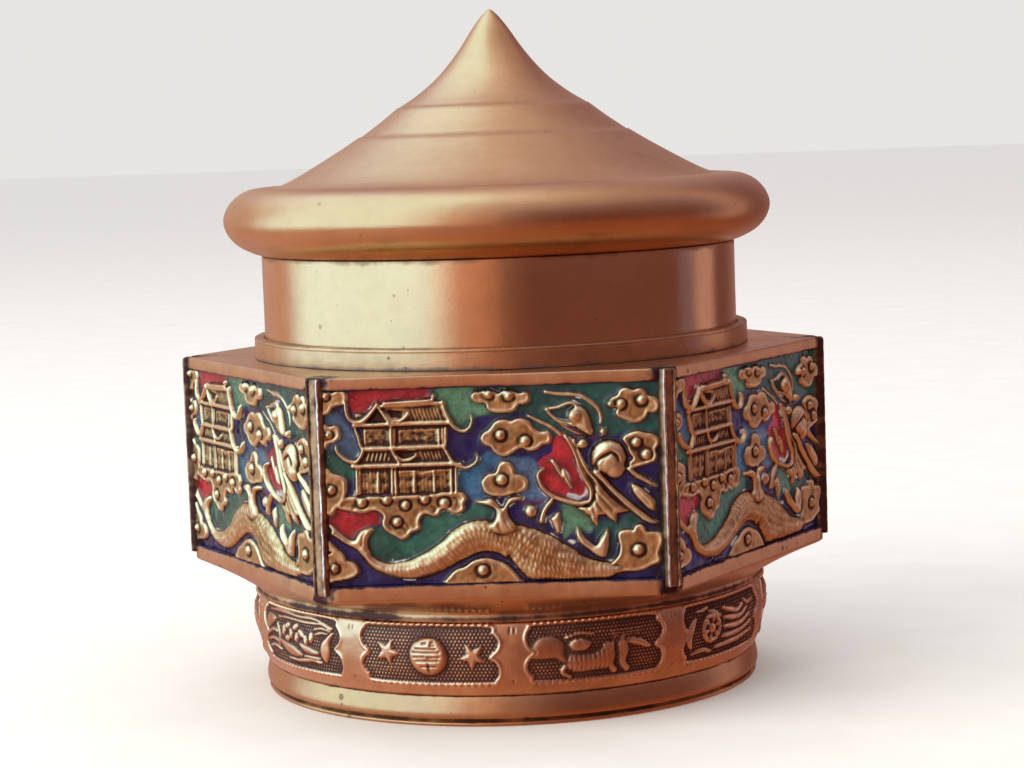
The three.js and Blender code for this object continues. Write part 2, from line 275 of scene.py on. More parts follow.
def bearingPoint(radius, angle, z):
    a = np.radians(angle)
    return np.stack(np.broadcast_arrays(radius * np.sin(a), -radius * np.cos(a), z), axis=-1)


def gridFaces(rows, cols, start=0, around=False, flip=False):
    last = cols if around else cols - 1
    i = np.arange(rows - 1)[:, None] * cols + start
    j = np.arange(last)[None, :]
    k = (j + 1) % cols
    quads = np.stack([i + j, i + k, i + cols + k, i + cols + j], axis=-1).reshape(-1, 4)
    return (quads[:, ::-1] if flip else quads).tolist()


def turnedPiece(name, profile, material, nodes=(), steps=168, wobble=0.0, sharp=38):
    # profile of (r, z), up the outside and down the inside; closed round the axis
    profile = np.array(profile, float)
    angles = np.arange(steps) * 360 / steps
    radius = (
        profile[:, :1]
        + wobble * softNoise(
            np.abs(angles - 180)[None, :], profile[:, 1:2] * 4, 30, 3
        ) * (profile[:, :1] > 1)
    )
    points = bearingPoint(radius, angles[None, :], profile[:, 1:2]).reshape(-1, 3)
    rows = len(profile)
    closed = profile[0, 0] > 1e-6
    faces = []
    for i in range(rows if closed else rows - 1):
        k = (i + 1) % rows
        for j in range(steps):
            n = (j + 1) % steps
            quad = [i * steps + j, i * steps + n, k * steps + n, k * steps + j]
            if profile[i, 0] < 1e-6:
                quad = [i * steps, k * steps + n, k * steps + j]
            elif profile[k, 0] < 1e-6:
                quad = [i * steps + j, i * steps + n, k * steps]
            faces.append(quad)
    used = sorted({p for f in faces for p in f})
    place = {p: q for q, p in enumerate(used)}
    return pieceOf(name, points[used], [[place[p] for p in f] for f in faces], material, nodes, sharp)


def hexRadius(angle, apothem, cut=None):
    # distance from the axis to a hexagon's side, with flats at 0, 60, ...
    a = np.radians((np.asarray(angle, float) + 30) % 60 - 30)
    reach = apothem / np.cos(a)
    if cut:
        corner = np.radians(np.abs(np.degrees(a)) - 30)
        reach = np.minimum(reach, cut / np.cos(corner))
    return reach


# Materials


def newMaterial(name):
    made = bpy.data.materials.new(name)
    made.use_nodes = True
    tree = made.node_tree
    tree.nodes.clear()
    return made, tree


def node(tree, kind, inputs=None, **settings):
    made = tree.nodes.new(kind)
    for key, value in settings.items():
        setattr(made, key, value)
    for key, value in (inputs or {}).items():
        if isinstance(value, bpy.types.NodeSocket):
            tree.links.new(value, made.inputs[key])
        else:
            made.inputs[key].default_value = value
    return made


def mathNode(tree, operation, a, b=0.0, clamp=False):
    return node(tree, "ShaderNodeMath", {0: a, 1: b}, operation=operation, use_clamp=clamp).outputs[0]


def mixTint(tree, share, a, b, blend="MIX"):
    made = tree.nodes.new("ShaderNodeMix")
    made.data_type = "RGBA"
    made.blend_type = blend
    for socket, value in ((made.inputs[0], share), (made.inputs[6], a), (made.inputs[7], b)):
        if isinstance(value, bpy.types.NodeSocket):
            tree.links.new(value, socket)
        else:
            socket.default_value = value
    return made.outputs[2]


def rangeNode(tree, value, low, high, toLow=0.0, toHigh=1.0):
    return node(
        tree, "ShaderNodeMapRange", {
            "Value": value, "From Min": low, "From Max": high, "To Min": toLow, "To Max": toHigh
        }
    ).outputs[0]


def noiseNode(tree, vector, scale, detail=4.0, rough=0.55):
    return node(
        tree,
        "ShaderNodeTexNoise",
        {"Vector": vector, "Scale": scale, "Detail": detail, "Roughness": rough},
    ).outputs["Fac"]


def ringSpace(tree, place, around):
    # radius and height, so a pattern runs in rings round the axis as turning marks do
    parts = node(tree, "ShaderNodeSeparateXYZ", {0: place})
    flat = node(tree, "ShaderNodeCombineXYZ", {0: parts.outputs[0], 1: parts.outputs[1]}).outputs[0]
    radius = node(tree, "ShaderNodeVectorMath", {0: flat}, operation="LENGTH").outputs["Value"]
    angle = mathNode(tree, "ARCTAN2", parts.outputs[1], parts.outputs[0])
    return node(
        tree, "ShaderNodeCombineXYZ", {
            0: radius, 1: parts.outputs[2], 2: mathNode(tree, "MULTIPLY", angle, around)
        }
    ).outputs[0]


brassGrain = {"cloudy": 45, "fine": 420, "lines": 2200, "specks": 330, "ringDrift": 0.004}


def brassMaterial(name, tone):
    made, tree = newMaterial(name)
    place = node(tree, "ShaderNodeTexCoord").outputs["Object"]
    rings = ringSpace(tree, place, brassGrain["ringDrift"])
    cloudy = noiseNode(tree, place, brassGrain["cloudy"], 5, 0.6)
    fine = noiseNode(tree, place, brassGrain["fine"], 4, 0.6)
    lines = noiseNode(tree, rings, brassGrain["lines"], 3, 0.7)
    speckField = node(
        tree, "ShaderNodeTexVoronoi", {"Vector": place, "Scale": brassGrain["specks"], "Randomness": 1.0}
    )
    speckSize = rangeNode(tree, noiseNode(tree, place, 95, 2), 0.45, 0.75, 0.0, tone.get("speckSize", 0.22))
    specks = mathNode(tree, "LESS_THAN", speckField.outputs["Distance"], speckSize)

    colour = mixTint(tree, rangeNode(tree, cloudy, 0.32, 0.68), (*tone["warm"], 1), (*tone["light"], 1))
    colour = mixTint(
        tree, rangeNode(tree, fine, 0.42, 0.72, 0, tone.get("fineShare", 0.35)), colour,
        (*tone["dull"], 1),
    )
    colour = mixTint(
        tree, mathNode(tree, "MULTIPLY", specks, tone.get("speckShare", 0.6)), colour, (*tone["dark"], 1)
    )
    rough = rangeNode(tree, cloudy, 0.3, 0.7, tone["rough"][0], tone["rough"][1])
    # darker where the stored mark is high: patina in hollows and seams, plus painted shade in hollows and
    # beside the posts; brighter where it is low: wear on raised points, plus painted highlights on raised
    # edges and the posts' ridges
    if tone.get("hollow"):
        hollow = node(tree, "ShaderNodeAttribute", attribute_name="hollow").outputs["Fac"]
        broken = mathNode(
            tree, "ADD", hollow,
            mathNode(tree, "MULTIPLY", mathNode(tree, "SUBTRACT", fine, 0.5), tone.get("broken", 0.35)),
        )
        darkShare = rangeNode(tree, broken, *tone["hollow"])
        colour = mixTint(tree, darkShare, colour, (*tone["dark"], 1))
        rough = mathNode(tree, "ADD", rough, mathNode(tree, "MULTIPLY", darkShare, 0.25))
        shiny = rangeNode(tree, broken, *tone["bare"])
        colour = mixTint(tree, shiny, colour, (*tone["polishedAndLit"], 1))
        rough = mathNode(tree, "SUBTRACT", rough, mathNode(tree, "MULTIPLY", shiny, 0.06))
    stains = tone.get("stains")
    if stains:
        blotch = noiseNode(tree, place, stains["scale"], 3, 0.65)
        stained = rangeNode(tree, blotch, stains["from"], stains["from"] + 0.12, 0, stains["share"])
        colour = mixTint(tree, stained, colour, (*stains["colour"], 1))
        rough = mathNode(tree, "ADD", rough, mathNode(tree, "MULTIPLY", stained, 0.15))
    seams = tone.get("seams", ())
    if seams:
        # darker band at a given height: tarnish creeping from a soldered seam, and painted shadow where one
        # part hangs over another
        height = node(tree, "ShaderNodeSeparateXYZ", {0: place}).outputs[2]
        patch = noiseNode(tree, place, 150, 4, 0.7)
        for seam in seams:
            away = mathNode(tree, "ABSOLUTE", mathNode(tree, "SUBTRACT", height, seam["z"] * mm))
            near = rangeNode(tree, away, 0.0, seam["reach"] * mm, 1.0, 0.0)
            share = rangeNode(
                tree,
                mathNode(
                    tree, "ADD", near,
                    mathNode(tree, "MULTIPLY", mathNode(tree, "SUBTRACT", patch, 0.5), 1.6),
                ),
                0.55, 0.95, 0, seam["share"],
            )
            share = mathNode(tree, "MULTIPLY", share, mathNode(tree, "GREATER_THAN", near, 0.001))
            colour = mixTint(tree, share, colour, (*seam["colour"], 1))
            rough = mathNode(tree, "ADD", rough, mathNode(tree, "MULTIPLY", share, 0.3))
    bumps = mathNode(tree, "MULTIPLY", lines, tone.get("lineBump", 0.35))
    bumps = mathNode(tree, "ADD", bumps, mathNode(tree, "MULTIPLY", fine, tone.get("fineBump", 0.4)))
    bumps = mathNode(tree, "ADD", bumps, mathNode(tree, "MULTIPLY", cloudy, tone.get("dentBump", 2.0)))
    bumps = mathNode(tree, "SUBTRACT", bumps, mathNode(tree, "MULTIPLY", specks, 0.5))
    bump = node(
        tree, "ShaderNodeBump",
        {"Strength": tone.get("bump", 0.35), "Distance": 0.00012, "Height": bumps},
    )
    shader = node(
        tree,
        "ShaderNodeBsdfPrincipled",
        {"Base Color": colour, "Metallic": 1.0, "Roughness": rough, "Normal": bump.outputs[0]},
    )
    if tone.get("spun"):
        shader.inputs["Anisotropic"].default_value = tone["spun"]
        tree.links.new(
            node(tree, "ShaderNodeTangent", direction_type="RADIAL", axis="Z").outputs[0],
            shader.inputs["Tangent"],
        )
    tree.links.new(shader.outputs[0], node(tree, "ShaderNodeOutputMaterial").inputs[0])
    return made


lidTone = {
    "warm": (0.65, 0.37, 0.165),
    "light": (0.74, 0.45, 0.21),
    "dull": (0.60, 0.33, 0.15),
    "dark": (0.22, 0.10, 0.05),
    "rough": (0.24, 0.33),
    "spun": 0.35,
    "speckShare": 0.35,
    "speckSize": 0.16,
    "lineBump": 0.5,
    "dentBump": 1.2,
    "stains": {"scale": 26, "from": 0.62, "share": 0.25, "colour": (0.55, 0.33, 0.2)},
}
neckTone = {
    "warm": (0.68, 0.41, 0.20),
    "light": (0.76, 0.49, 0.245),
    "dull": (0.60, 0.36, 0.18),
    "dark": (0.28, 0.14, 0.06),
    "rough": (0.13, 0.2),
    "spun": 0.25,
    "speckShare": 0.55,
    "speckSize": 0.2,
    "lineBump": 0.35,
    "dentBump": 2.4,
    "stains": {"scale": 34, "from": 0.6, "share": 0.3, "colour": (0.5, 0.33, 0.17)},
    # painted shadow under the lid's brim, along the neck's top
    "seams": ({"z": 69.7, "reach": 1.6, "share": 0.75, "colour": (0.3, 0.16, 0.08)},),
}
agedTone = {
    "warm": (0.64, 0.37, 0.18),
    "light": (0.74, 0.46, 0.23),
    "dull": (0.50, 0.28, 0.14),
    "dark": (0.16, 0.07, 0.04),
    "rough": (0.24, 0.36),
    "speckShare": 0.7,
    "fineShare": 0.5,
    "dentBump": 3.0,
    "bump": 0.45,
    "stains": {"scale": 60, "from": 0.57, "share": 0.5, "colour": (0.38, 0.22, 0.13)},
}
collarTone = dict(
    agedTone,
    seams=(
        {"z": 53.4, "reach": 1.3, "share": 0.85, "colour": (0.22, 0.17, 0.16)},
        {"z": 56.7, "reach": 0.5, "share": 0.6, "colour": (0.3, 0.2, 0.14)},
    ),
)
rimTone = dict(
    agedTone,
    hollow=(0.62, 0.95),
    bare=(-1.0, -2.0),
    polishedAndLit=(0.8, 0.6, 0.4),
    broken=1.5,
    dark=(0.085, 0.035, 0.04),
    seams=(
        {"z": 53.5, "reach": 0.35, "share": 0.35, "colour": (0.4, 0.28, 0.2)},
        {"z": 51.4, "reach": 0.8, "share": 0.9, "colour": (0.10, 0.06, 0.16)},
    ),
)
panTone = dict(
    agedTone,
    hollow=(0.62, 0.95),
    bare=(-1.0, -2.0),
    polishedAndLit=(0.8, 0.6, 0.4),
    broken=1.5,
    dark=(0.085, 0.035, 0.04),
    seams=(
        {"z": 22.7, "reach": 0.8, "share": 0.85, "colour": (0.10, 0.06, 0.14)},
        {"z": 16.6, "reach": 1.3, "share": 0.97, "colour": (0.11, 0.06, 0.05)},
    ),
)
footTone = dict(
    agedTone,
    warm=(0.58, 0.31, 0.14),
    light=(0.69, 0.40, 0.175),
    stains={"scale": 50, "from": 0.58, "share": 0.4, "colour": (0.4, 0.24, 0.14)},
    seams=(
        {"z": 4.7, "reach": 0.7, "share": 0.9, "colour": (0.16, 0.08, 0.05)},
        {"z": 0.75, "reach": 0.45, "share": 0.9, "colour": (0.12, 0.06, 0.04)},
    ),
)
postTone = dict(
    agedTone,
    warm=(0.46, 0.25, 0.12),
    light=(0.58, 0.35, 0.17),
    hollow=(0.45, 1.0),
    bare=(0.15, -0.3),
    # near-white painted highlight for the posts' ridges
    polishedAndLit=(0.95, 0.88, 0.82),
    dark=(0.10, 0.045, 0.035),
    broken=0.7,
    fineBump=1.0,
    bump=0.6,
    rough=(0.34, 0.46),
)
bandTone = dict(
    agedTone,
    warm=(0.55, 0.28, 0.13),
    light=(0.72, 0.43, 0.22),
    hollow=(0.52, 0.72),
    bare=(0.44, 0.2),
    polishedAndLit=(0.86, 0.58, 0.34),
    dark=(0.15, 0.075, 0.055),
    broken=0.12,
    rough=(0.22, 0.34),
    stains={"scale": 70, "from": 0.6, "share": 0.35, "colour": (0.35, 0.19, 0.1)},
)

lidBrass = brassMaterial("spun lid brass", lidTone)
neckBrass = brassMaterial("turned neck brass", neckTone)
collarBrass = brassMaterial("collar brass", collarTone)
rimBrass = brassMaterial("shoulder rim brass", rimTone)
panBrass = brassMaterial("pan brass", panTone)
footBrass = brassMaterial("foot brass", footTone)
postBrass = brassMaterial("post brass", postTone)
bandBrass = brassMaterial("embossed band brass", bandTone)


def enamelMaterial():
    # cast brass figures standing in fused enamel; "gap" is the distance from the nearest figure's edge
    made, tree = newMaterial("enamel and cast brass")
    place = node(tree, "ShaderNodeTexCoord").outputs["Object"]
    fine = noiseNode(tree, place, 650, 4, 0.6)
    cloudy = noiseNode(tree, place, 130, 4, 0.6)
    tint = node(tree, "ShaderNodeAttribute", attribute_name="tint").outputs["Color"]
    gap = node(tree, "ShaderNodeAttribute", attribute_name="gap").outputs["Fac"]
    hollow = node(tree, "ShaderNodeAttribute", attribute_name="hollow").outputs["Fac"]

    ragged = mathNode(
        tree, "ADD", gap, mathNode(tree, "MULTIPLY", mathNode(tree, "SUBTRACT", cloudy, 0.52), 0.28)
    )
    metal = rangeNode(tree, ragged, 0.05, -0.05)

    glass = mixTint(
        tree, rangeNode(tree, cloudy, 0.3, 0.7, 0.0, 0.6), tint, (0.02, 0.02, 0.04, 1), "MULTIPLY"
    )
    glass = mixTint(
        tree, rangeNode(tree, fine, 0.48, 0.72, 0.0, 0.35), glass, (0.50, 0.42, 0.45, 1), "SOFT_LIGHT"
    )
    grain = noiseNode(tree, place, 1900, 3, 0.6)
    glass = mixTint(tree, rangeNode(tree, grain, 0.5, 0.7, 0.0, 0.5), glass, (0.02, 0.012, 0.02, 1))
    # enamel darker within about 0.7 mm of a figure's edge
    nearFigureDark = mathNode(tree, "MULTIPLY", rangeNode(tree, ragged, 0.7, 0.0), rangeNode(tree, fine, 0.3, 0.55))
    glass = mixTint(tree, mathNode(tree, "MULTIPLY", nearFigureDark, 0.7), glass, (0.035, 0.018, 0.022, 1))
    # pale specks painted as glints of light on the enamel, also dented into the bump as pits
    speckCells = node(
        tree, "ShaderNodeTexVoronoi", {"Vector": place, "Scale": 900.0, "Randomness": 1.0}
    ).outputs["Distance"]
    pitsAndGlints = mathNode(tree, "LESS_THAN", speckCells, rangeNode(tree, cloudy, 0.5, 0.75, 0.0, 0.22))
    glass = mixTint(tree, mathNode(tree, "MULTIPLY", pitsAndGlints, 0.6), glass, (0.45, 0.38, 0.36, 1))
    # painted glints: pale spots here and there where the enamel meets a figure, standing in for light caught
    # on the enamel's edge
    edgeGlints = mathNode(
        tree, "MULTIPLY", rangeNode(tree, ragged, 0.3, 0.12),
        rangeNode(tree, noiseNode(tree, place, 260, 3, 0.65), 0.6, 0.68),
    )
    glass = mixTint(tree, mathNode(tree, "MULTIPLY", edgeGlints, 0.75), glass, (0.62, 0.55, 0.55, 1))

    brass = mixTint(tree, rangeNode(tree, cloudy, 0.32, 0.68), (0.50, 0.30, 0.11, 1), (0.66, 0.43, 0.17, 1))
    # brass figures: darker in hollows, partly patina and partly painted shade; brighter on high edges, partly
    # wear and partly painted highlight
    darkShare = rangeNode(
        tree,
        mathNode(
            tree, "ADD", hollow, mathNode(tree, "MULTIPLY", mathNode(tree, "SUBTRACT", fine, 0.5), 0.2)
        ),
        0.48, 0.68,
    )
    brass = mixTint(tree, darkShare, brass, (0.09, 0.04, 0.028, 1))
    bare = rangeNode(tree, hollow, 0.44, 0.2)
    brass = mixTint(tree, bare, brass, (0.86, 0.66, 0.36, 1))

    colour = mixTint(tree, metal, glass, brass)
    brassRough = mathNode(
        tree, "ADD", rangeNode(tree, fine, 0.3, 0.7, 0.27, 0.42), mathNode(tree, "MULTIPLY", darkShare, 0.2)
    )
    glassRough = rangeNode(tree, fine, 0.35, 0.75, 0.06, 0.24)
    rough = node(tree, "ShaderNodeMix", {0: metal, 2: glassRough, 3: brassRough}).outputs[0]
    waves = mathNode(
        tree, "ADD", mathNode(tree, "MULTIPLY", fine, 0.8), mathNode(tree, "MULTIPLY", cloudy, 1.8)
    )
    waves = mathNode(tree, "SUBTRACT", waves, mathNode(tree, "MULTIPLY", pitsAndGlints, 0.7))
    bump = node(tree, "ShaderNodeBump", {"Strength": 0.4, "Distance": 0.00014, "Height": waves})
    shader = node(
        tree,
        "ShaderNodeBsdfPrincipled",
        {"Base Color": colour, "Metallic": metal, "Roughness": rough, "IOR": 1.46, "Normal": bump.outputs[0]},
    )
    tree.links.new(shader.outputs[0], node(tree, "ShaderNodeOutputMaterial").inputs[0])
    return made


panelSurface = enamelMaterial()
print("materials ready")

# Lid, neck, collar and foot, all turned

lidShape = {
    "point": [
        (0, 107.65), (0.35, 107.55), (0.8, 107.15), (1.6, 106.3), (2.9, 104.6), (5.5, 100.8), (8.6, 97.2),
        (12.0, 94.4), (15.1, 92.45),
    ],
    "middle": [(15.35, 92.4), (18.2, 90.2), (21.3, 88.0)],
    "skirtOfCone": [(21.75, 87.9), (25.3, 85.7), (30.5, 82.7), (33.4, 81.2), (35.3, 80.45)],
    "brim": [
        (35.75, 80.35), (37.6, 80.45), (39.6, 80.2), (41.5, 79.35), (43.0, 77.9), (43.85, 76.2),
        (43.9, 74.6), (43.1, 72.8), (41.6, 71.3), (39.6, 70.25), (38.4, 69.85),
    ],
    "inside": [
        (38.0, 69.72), (36.95, 69.72), (36.9, 64.0), (36.6, 63.72), (36.2, 63.75), (36.0, 64.1),
        (36.0, 70.6), (41.0, 72.2), (42.9, 74.9), (42.6, 76.9), (40.9, 78.7), (36.0, 79.5), (30.0, 81.9),
        (21.0, 87.1), (12.0, 93.3), (5.0, 100.2), (0.0, 105.6),
    ],
}


def lidProfile(shape):
    outside = []
    for part in ("point", "middle", "skirtOfCone", "brim"):
        outside.extend(map(tuple, curveThrough(shape[part], 4)))
    return (outside + shape["inside"])[::-1]


turnedPiece("lid_spun", lidProfile(lidShape), lidBrass, ["lid"], steps=192, wobble=0.03)

neckShape = {"radius": 38.1, "wall": 0.9, "foot": 51.55, "top": 69.68, "edge": 0.25}
outer, inner = neckShape["radius"], neckShape["radius"] - neckShape["wall"]
turnedPiece(
    "neck_tube",
    softened(
        [
            (outer, neckShape["foot"], 0.1),
            (outer, 56.0),
            (outer - 0.03, 63.0),
            (outer, neckShape["top"], neckShape["edge"]),
            (inner, neckShape["top"], neckShape["edge"]),
            (inner, neckShape["foot"], 0.1),
        ]
    ),
    neckBrass,
    ["neck"],
    wobble=0.035,
)

collarShape = {"inner": 38.16, "outer": 39.85, "foot": 53.42, "top": 56.6, "lip": 0.32}
turnedPiece(
    "collar_ring",
    softened(
        [
            (collarShape["outer"], collarShape["foot"], 0.12),
            (collarShape["outer"] - 0.08, collarShape["top"] - 0.62),
            (collarShape["outer"] - 0.2, collarShape["top"] - 0.5, 0.08),
            (collarShape["outer"] - 0.04, collarShape["top"] - 0.4, 0.1),
            (collarShape["outer"] - 0.1, collarShape["top"], collarShape["lip"]),
            (collarShape["inner"] + 0.15, collarShape["top"] + 0.02, 0.2),
            (collarShape["inner"], collarShape["top"] - 0.25, 0.1),
            (collarShape["inner"], collarShape["foot"]),
        ]
    ),
    collarBrass,
    ["collar"],
    wobble=0.05,
)

footShape = {
    "outside": [
        (39.35, 0.0, 0.1),
        (39.75, 0.12, 0.15),
        (39.8, 0.5, 0.15),
        (39.25, 0.78, 0.12),
        (39.5, 1.0, 0.1),
        (40.0, 1.35, 0.25),
        (40.1, 2.1, 0.8),
        (39.85, 3.6, 0.6),
        (39.55, 4.55, 0.15),
    ],
    "inside": [(38.6, 4.6), (38.6, 0.05, 0.1)],
}
turnedPiece(
    "foot_turned", softened(footShape["outside"] + footShape["inside"]), footBrass,
    ["foot_ring"], wobble=0.07,
)
print("turned pieces ready")

# Pan and shoulder plate, round on one side and six-sided on the other

cornerCut = 51.8  # tips of the rims, eased off behind the posts
sideApothem = 45.03


tipTangent = 0.5376  # of the widest angle from a side's middle that gets a column
sootAndShadeReach = {"corner": 1.9, "along": 4, "seam": 0.45}  # mm


def blendedPiece(name, rings, material, nodes, perSide=44, capFoot=False, sharp=38, seamAt=0.0):
    # rings of (share, distance, z): share 0 is a circle, 1 the hexagon
    fromFlat = np.degrees(np.arctan(np.linspace(-1, 1, perSide + 1) * tipTangent))
    angles = np.concatenate([fromFlat + 60 * side for side in range(sides)])
    count = len(angles)
    points, hollow = [], []
    corner = np.radians(30 - np.abs((angles + 30) % 60 - 30)) * 48  # mm along the rim from the nearest corner
    for share, distance, z in rings:
        # painted shade of the posts on the rims, partly soot: darkest at the corners and fading along the rim
        sootAndShade = (
            1.1 * np.exp(-((corner / sootAndShadeReach["corner"]) ** 2))
            + 0.5 * np.exp(-corner / sootAndShadeReach["along"])
        )
        seam = 0.95 * np.exp(-abs(z - seamAt) / sootAndShadeReach["seam"]) * (distance > 43.5)
        hollow.append(
            share * np.maximum(sootAndShade, seam + 0.35 * sootAndShade)
            + 0.12 * softNoise(angles, z * 4 + 0 * angles, 3, 7)
        )
        hexagon = hexRadius(angles, distance, cornerCut * distance / sideApothem)
        radius = distance * (1 - share) + hexagon * share
        radius = radius + 0.05 * softNoise(angles % 360, z * 3 + 0 * angles, 11, 5) * share
        points.append(bearingPoint(radius, angles, z + 0.03 * softNoise(angles % 360, 0 * angles, 17, 6)))
    faces = gridFaces(len(rings), count, around=True)
    points, hollow = np.concatenate(points), np.concatenate(hollow)
    if capFoot:
        first, last = rings[0][2], rings[-1][2]
        points = np.concatenate([points, [(0, 0, first), (0, 0, last)]])
        hollow = np.concatenate([hollow, [0.3, 0.6]])
        middle, top = len(points) - 2, len(points) - 1
        base = (len(rings) - 1) * count
        faces += [[middle, (j + 1) % count, j] for j in range(count)]
        faces += [[top, base + j, base + (j + 1) % count] for j in range(count)]
    else:
        base = (len(rings) - 1) * count
        faces += [[base + j, base + (j + 1) % count, (j + 1) % count, j] for j in range(count)]
    piece = pieceOf(name, points, faces, material, nodes, sharp)
    storeOn(piece, "hollow", hollow)
    return piece


panShape = {
    "ringRadius": 41.3, "ringFoot": 16.02, "ringTop": 17.45, "rimFoot": 20.35, "top": 22.6, "floor": 17.3,
    "lip": 42.5,
}
panRings = [
    (0, panShape["ringRadius"] - 0.5, panShape["ringFoot"]),
    (0, panShape["ringRadius"] - 0.1, panShape["ringFoot"] + 0.05),
    (0, panShape["ringRadius"], panShape["ringFoot"] + 0.25),
    (0, panShape["ringRadius"] - 0.05, panShape["ringTop"] - 0.35),
    (0, panShape["ringRadius"] - 0.15, panShape["ringTop"] - 0.2),
    (0, panShape["ringRadius"] + 0.05, panShape["ringTop"] - 0.05),
]
for t in np.linspace(0.08, 1, 12):
    # flare, a little hollow near the round and full near the rim
    panRings.append(
        (
            smooth(t), 41.45 + (sideApothem - 0.1 - 41.45) * t**0.9,
            panShape["ringTop"] + (panShape["rimFoot"] - panShape["ringTop"]) * t**1.15,
        )
    )
panRings += [
    (1, sideApothem, panShape["rimFoot"] + 0.12),
    (1, sideApothem + 0.03, panShape["rimFoot"] + 0.3),
    (1, sideApothem + 0.03, panShape["top"] - 0.8),
    (1, sideApothem + 0.03, panShape["top"] - 0.4),
    (1, sideApothem - 0.02, panShape["top"] - 0.1),
    (1, sideApothem - 0.15, panShape["top"]),
    (1, panShape["lip"] + 0.1, panShape["top"]),
    (1, panShape["lip"], panShape["top"] - 0.1),
    (0.7, 41.2, 20.6),
    (0.2, 40.0, 18.2),
    (0, 38.6, panShape["floor"]),
]
blendedPiece("pan_flared", panRings, panBrass, ["pan"], capFoot=True, seamAt=22.6)

plateShape = {"hole": 38.2, "foot": 51.48, "top": 53.4}
plateRings = [
    (0, plateShape["hole"], plateShape["foot"]),
    (1, sideApothem - 0.3, plateShape["foot"]),
    (1, sideApothem - 0.1, plateShape["foot"] + 0.05),
    (1, sideApothem, plateShape["foot"] + 0.2),
    (1, sideApothem + 0.03, plateShape["foot"] + 0.45),
    (1, sideApothem + 0.03, plateShape["foot"] + 0.8),
    (1, sideApothem, plateShape["top"] - 0.35),
    (1, sideApothem - 0.08, plateShape["top"] - 0.14),
    (1, sideApothem - 0.25, plateShape["top"] - 0.02),
    (1, sideApothem - 0.5, plateShape["top"]),
    (0.4, 41.0, plateShape["top"] - 0.02),
    (0, plateShape["hole"], plateShape["top"]),
]
blendedPiece("shoulder_hexagon", plateRings, rimBrass, ["shoulder_plate"], seamAt=51.5)
print("rims ready")

# Corner posts

postShape = {
    "foot": 21.3,
    "top": 53.3,
    "front": 52.08,  # from the axis to the tops of the two ridges
    # half width and drop from the front, one side: brown flat, bright ridge, dark gap, thin ledge
    "section": [
        (0, 0.14), (0.3, 0.15), (0.5, 0.2), (0.6, 0.22), (0.68, 0.08), (0.78, 0.0), (0.88, 0.05),
        (0.96, 0.0), (1.06, 0.06), (1.14, 0.3), (1.22, 0.5), (1.27, 1.0),
    ],
    # marks along the section for each half: the lit half carries a painted highlight on its ridge, the other
    # half painted shade; low marks bright, high marks dark
    "polishedAndLit": [0.5, 0.52, 0.6, 0.95, 0.1, -0.45, 0.0, -0.45, -0.1, 0.75, 0.6, 0.9],
    "tarnishedAndShaded": [0.5, 0.52, 0.6, 0.95, 0.75, 0.5, 0.95, 0.35, 0.6, 1.0, 1.0, 1.0],
}


def postPiece(index):
    shape = postShape
    half = shape["section"]
    section = [(-w, d) for w, d in half[:0:-1]] + list(half)
    # the two front posts show their painted highlight on the half towards the front panel; alternate posts
    # are mirrored
    bright, dull = ("polishedAndLit", "tarnishedAndShaded") if index % 2 else ("tarnishedAndShaded", "polishedAndLit")
    tarnishAndLight = shape[dull][:0:-1] + shape[bright]
    middle = np.linspace(shape["foot"] + 0.6, shape["top"] - 0.6, 90)
    levels = np.concatenate(
        [shape["foot"] + np.array([0, 0.08, 0.25]), middle, shape["top"] - np.array([0.25, 0.08, 0])]
    )
    shrink = np.concatenate([[0.8, 0.93, 0.99], np.ones(len(middle)), [0.99, 0.92, 0.78]])
    angle = math.radians(60 * index + 30)
    out = np.array([math.sin(angle), -math.cos(angle)])
    across = np.array([math.cos(angle), math.sin(angle)])
    points, hollow = [], []
    for z, size in zip(levels, shrink):
        lean = 0.05 * softNoise(z, index * 9.0, 14, 11)
        for (w, drop), mark in zip(section, tarnishAndLight):
            worn = (
                0.05 * softNoise(z, w * 3 + index * 5, 1.3, 12)
                + 0.03 * softNoise(z, w * 3 + index * 7, 0.5, 14)
            )
            wide = w * size + lean + (
                0.045 * softNoise(z, np.sign(w) * 3 + index, 1.6, 13) if abs(w) > 0.4 else 0
            )
            spot = out * (shape["front"] - drop - (1 - size) * 1.4 - abs(worn)) + across * wide
            points.append((spot[0], spot[1], z))
            hollow.append(
                mark
                + 0.22 * softNoise(z, w + index, 2.0, 15)
                + 0.2 * softNoise(z, w * 2 + index, 0.6, 16)
            )
        for w in (1.1, -1.1):  # back edge
            spot = out * (shape["front"] - 1.75) + across * w * size
            points.append((spot[0], spot[1], z))
            hollow.append(0.7)
    count = len(section) + 2
    faces = gridFaces(len(levels), count, around=True)
    faces.append(list(range(count))[::-1])
    faces.append([(len(levels) - 1) * count + j for j in range(count)])
    piece = pieceOf(
        f"post_strip_{index + 1}", points, faces, postBrass, [f"corner_post_{index + 1}"],
        sharp=60,
    )
    storeOn(piece, "hollow", np.array(hollow))
    return piece


for i in range(sides):
    postPiece(i)
print("posts ready")

# Embossed band

bandShape = {
    "profile": [
        (4.62, 39.75), (5.4, 40.1), (7.0, 40.8), (8.8, 41.25), (10.5, 41.5), (13.0, 41.62), (14.6, 41.45),
        (15.6, 41.15), (16.0, 40.95),
    ],
    "inner": 38.7,
    "middleRadius": 41.3,
    "foot": 4.62,
    "top": 16.0,
    "columns": 1440,
    "rows": 60,
    "firstBearing": -177.5,
    "cartouches": 10,
    "frontBearing": -15.5,
    "middle": 11.1,
    "sunk": 0.36,
}
perDegree = math.radians(bandShape["middleRadius"])  # mm of band for one degree


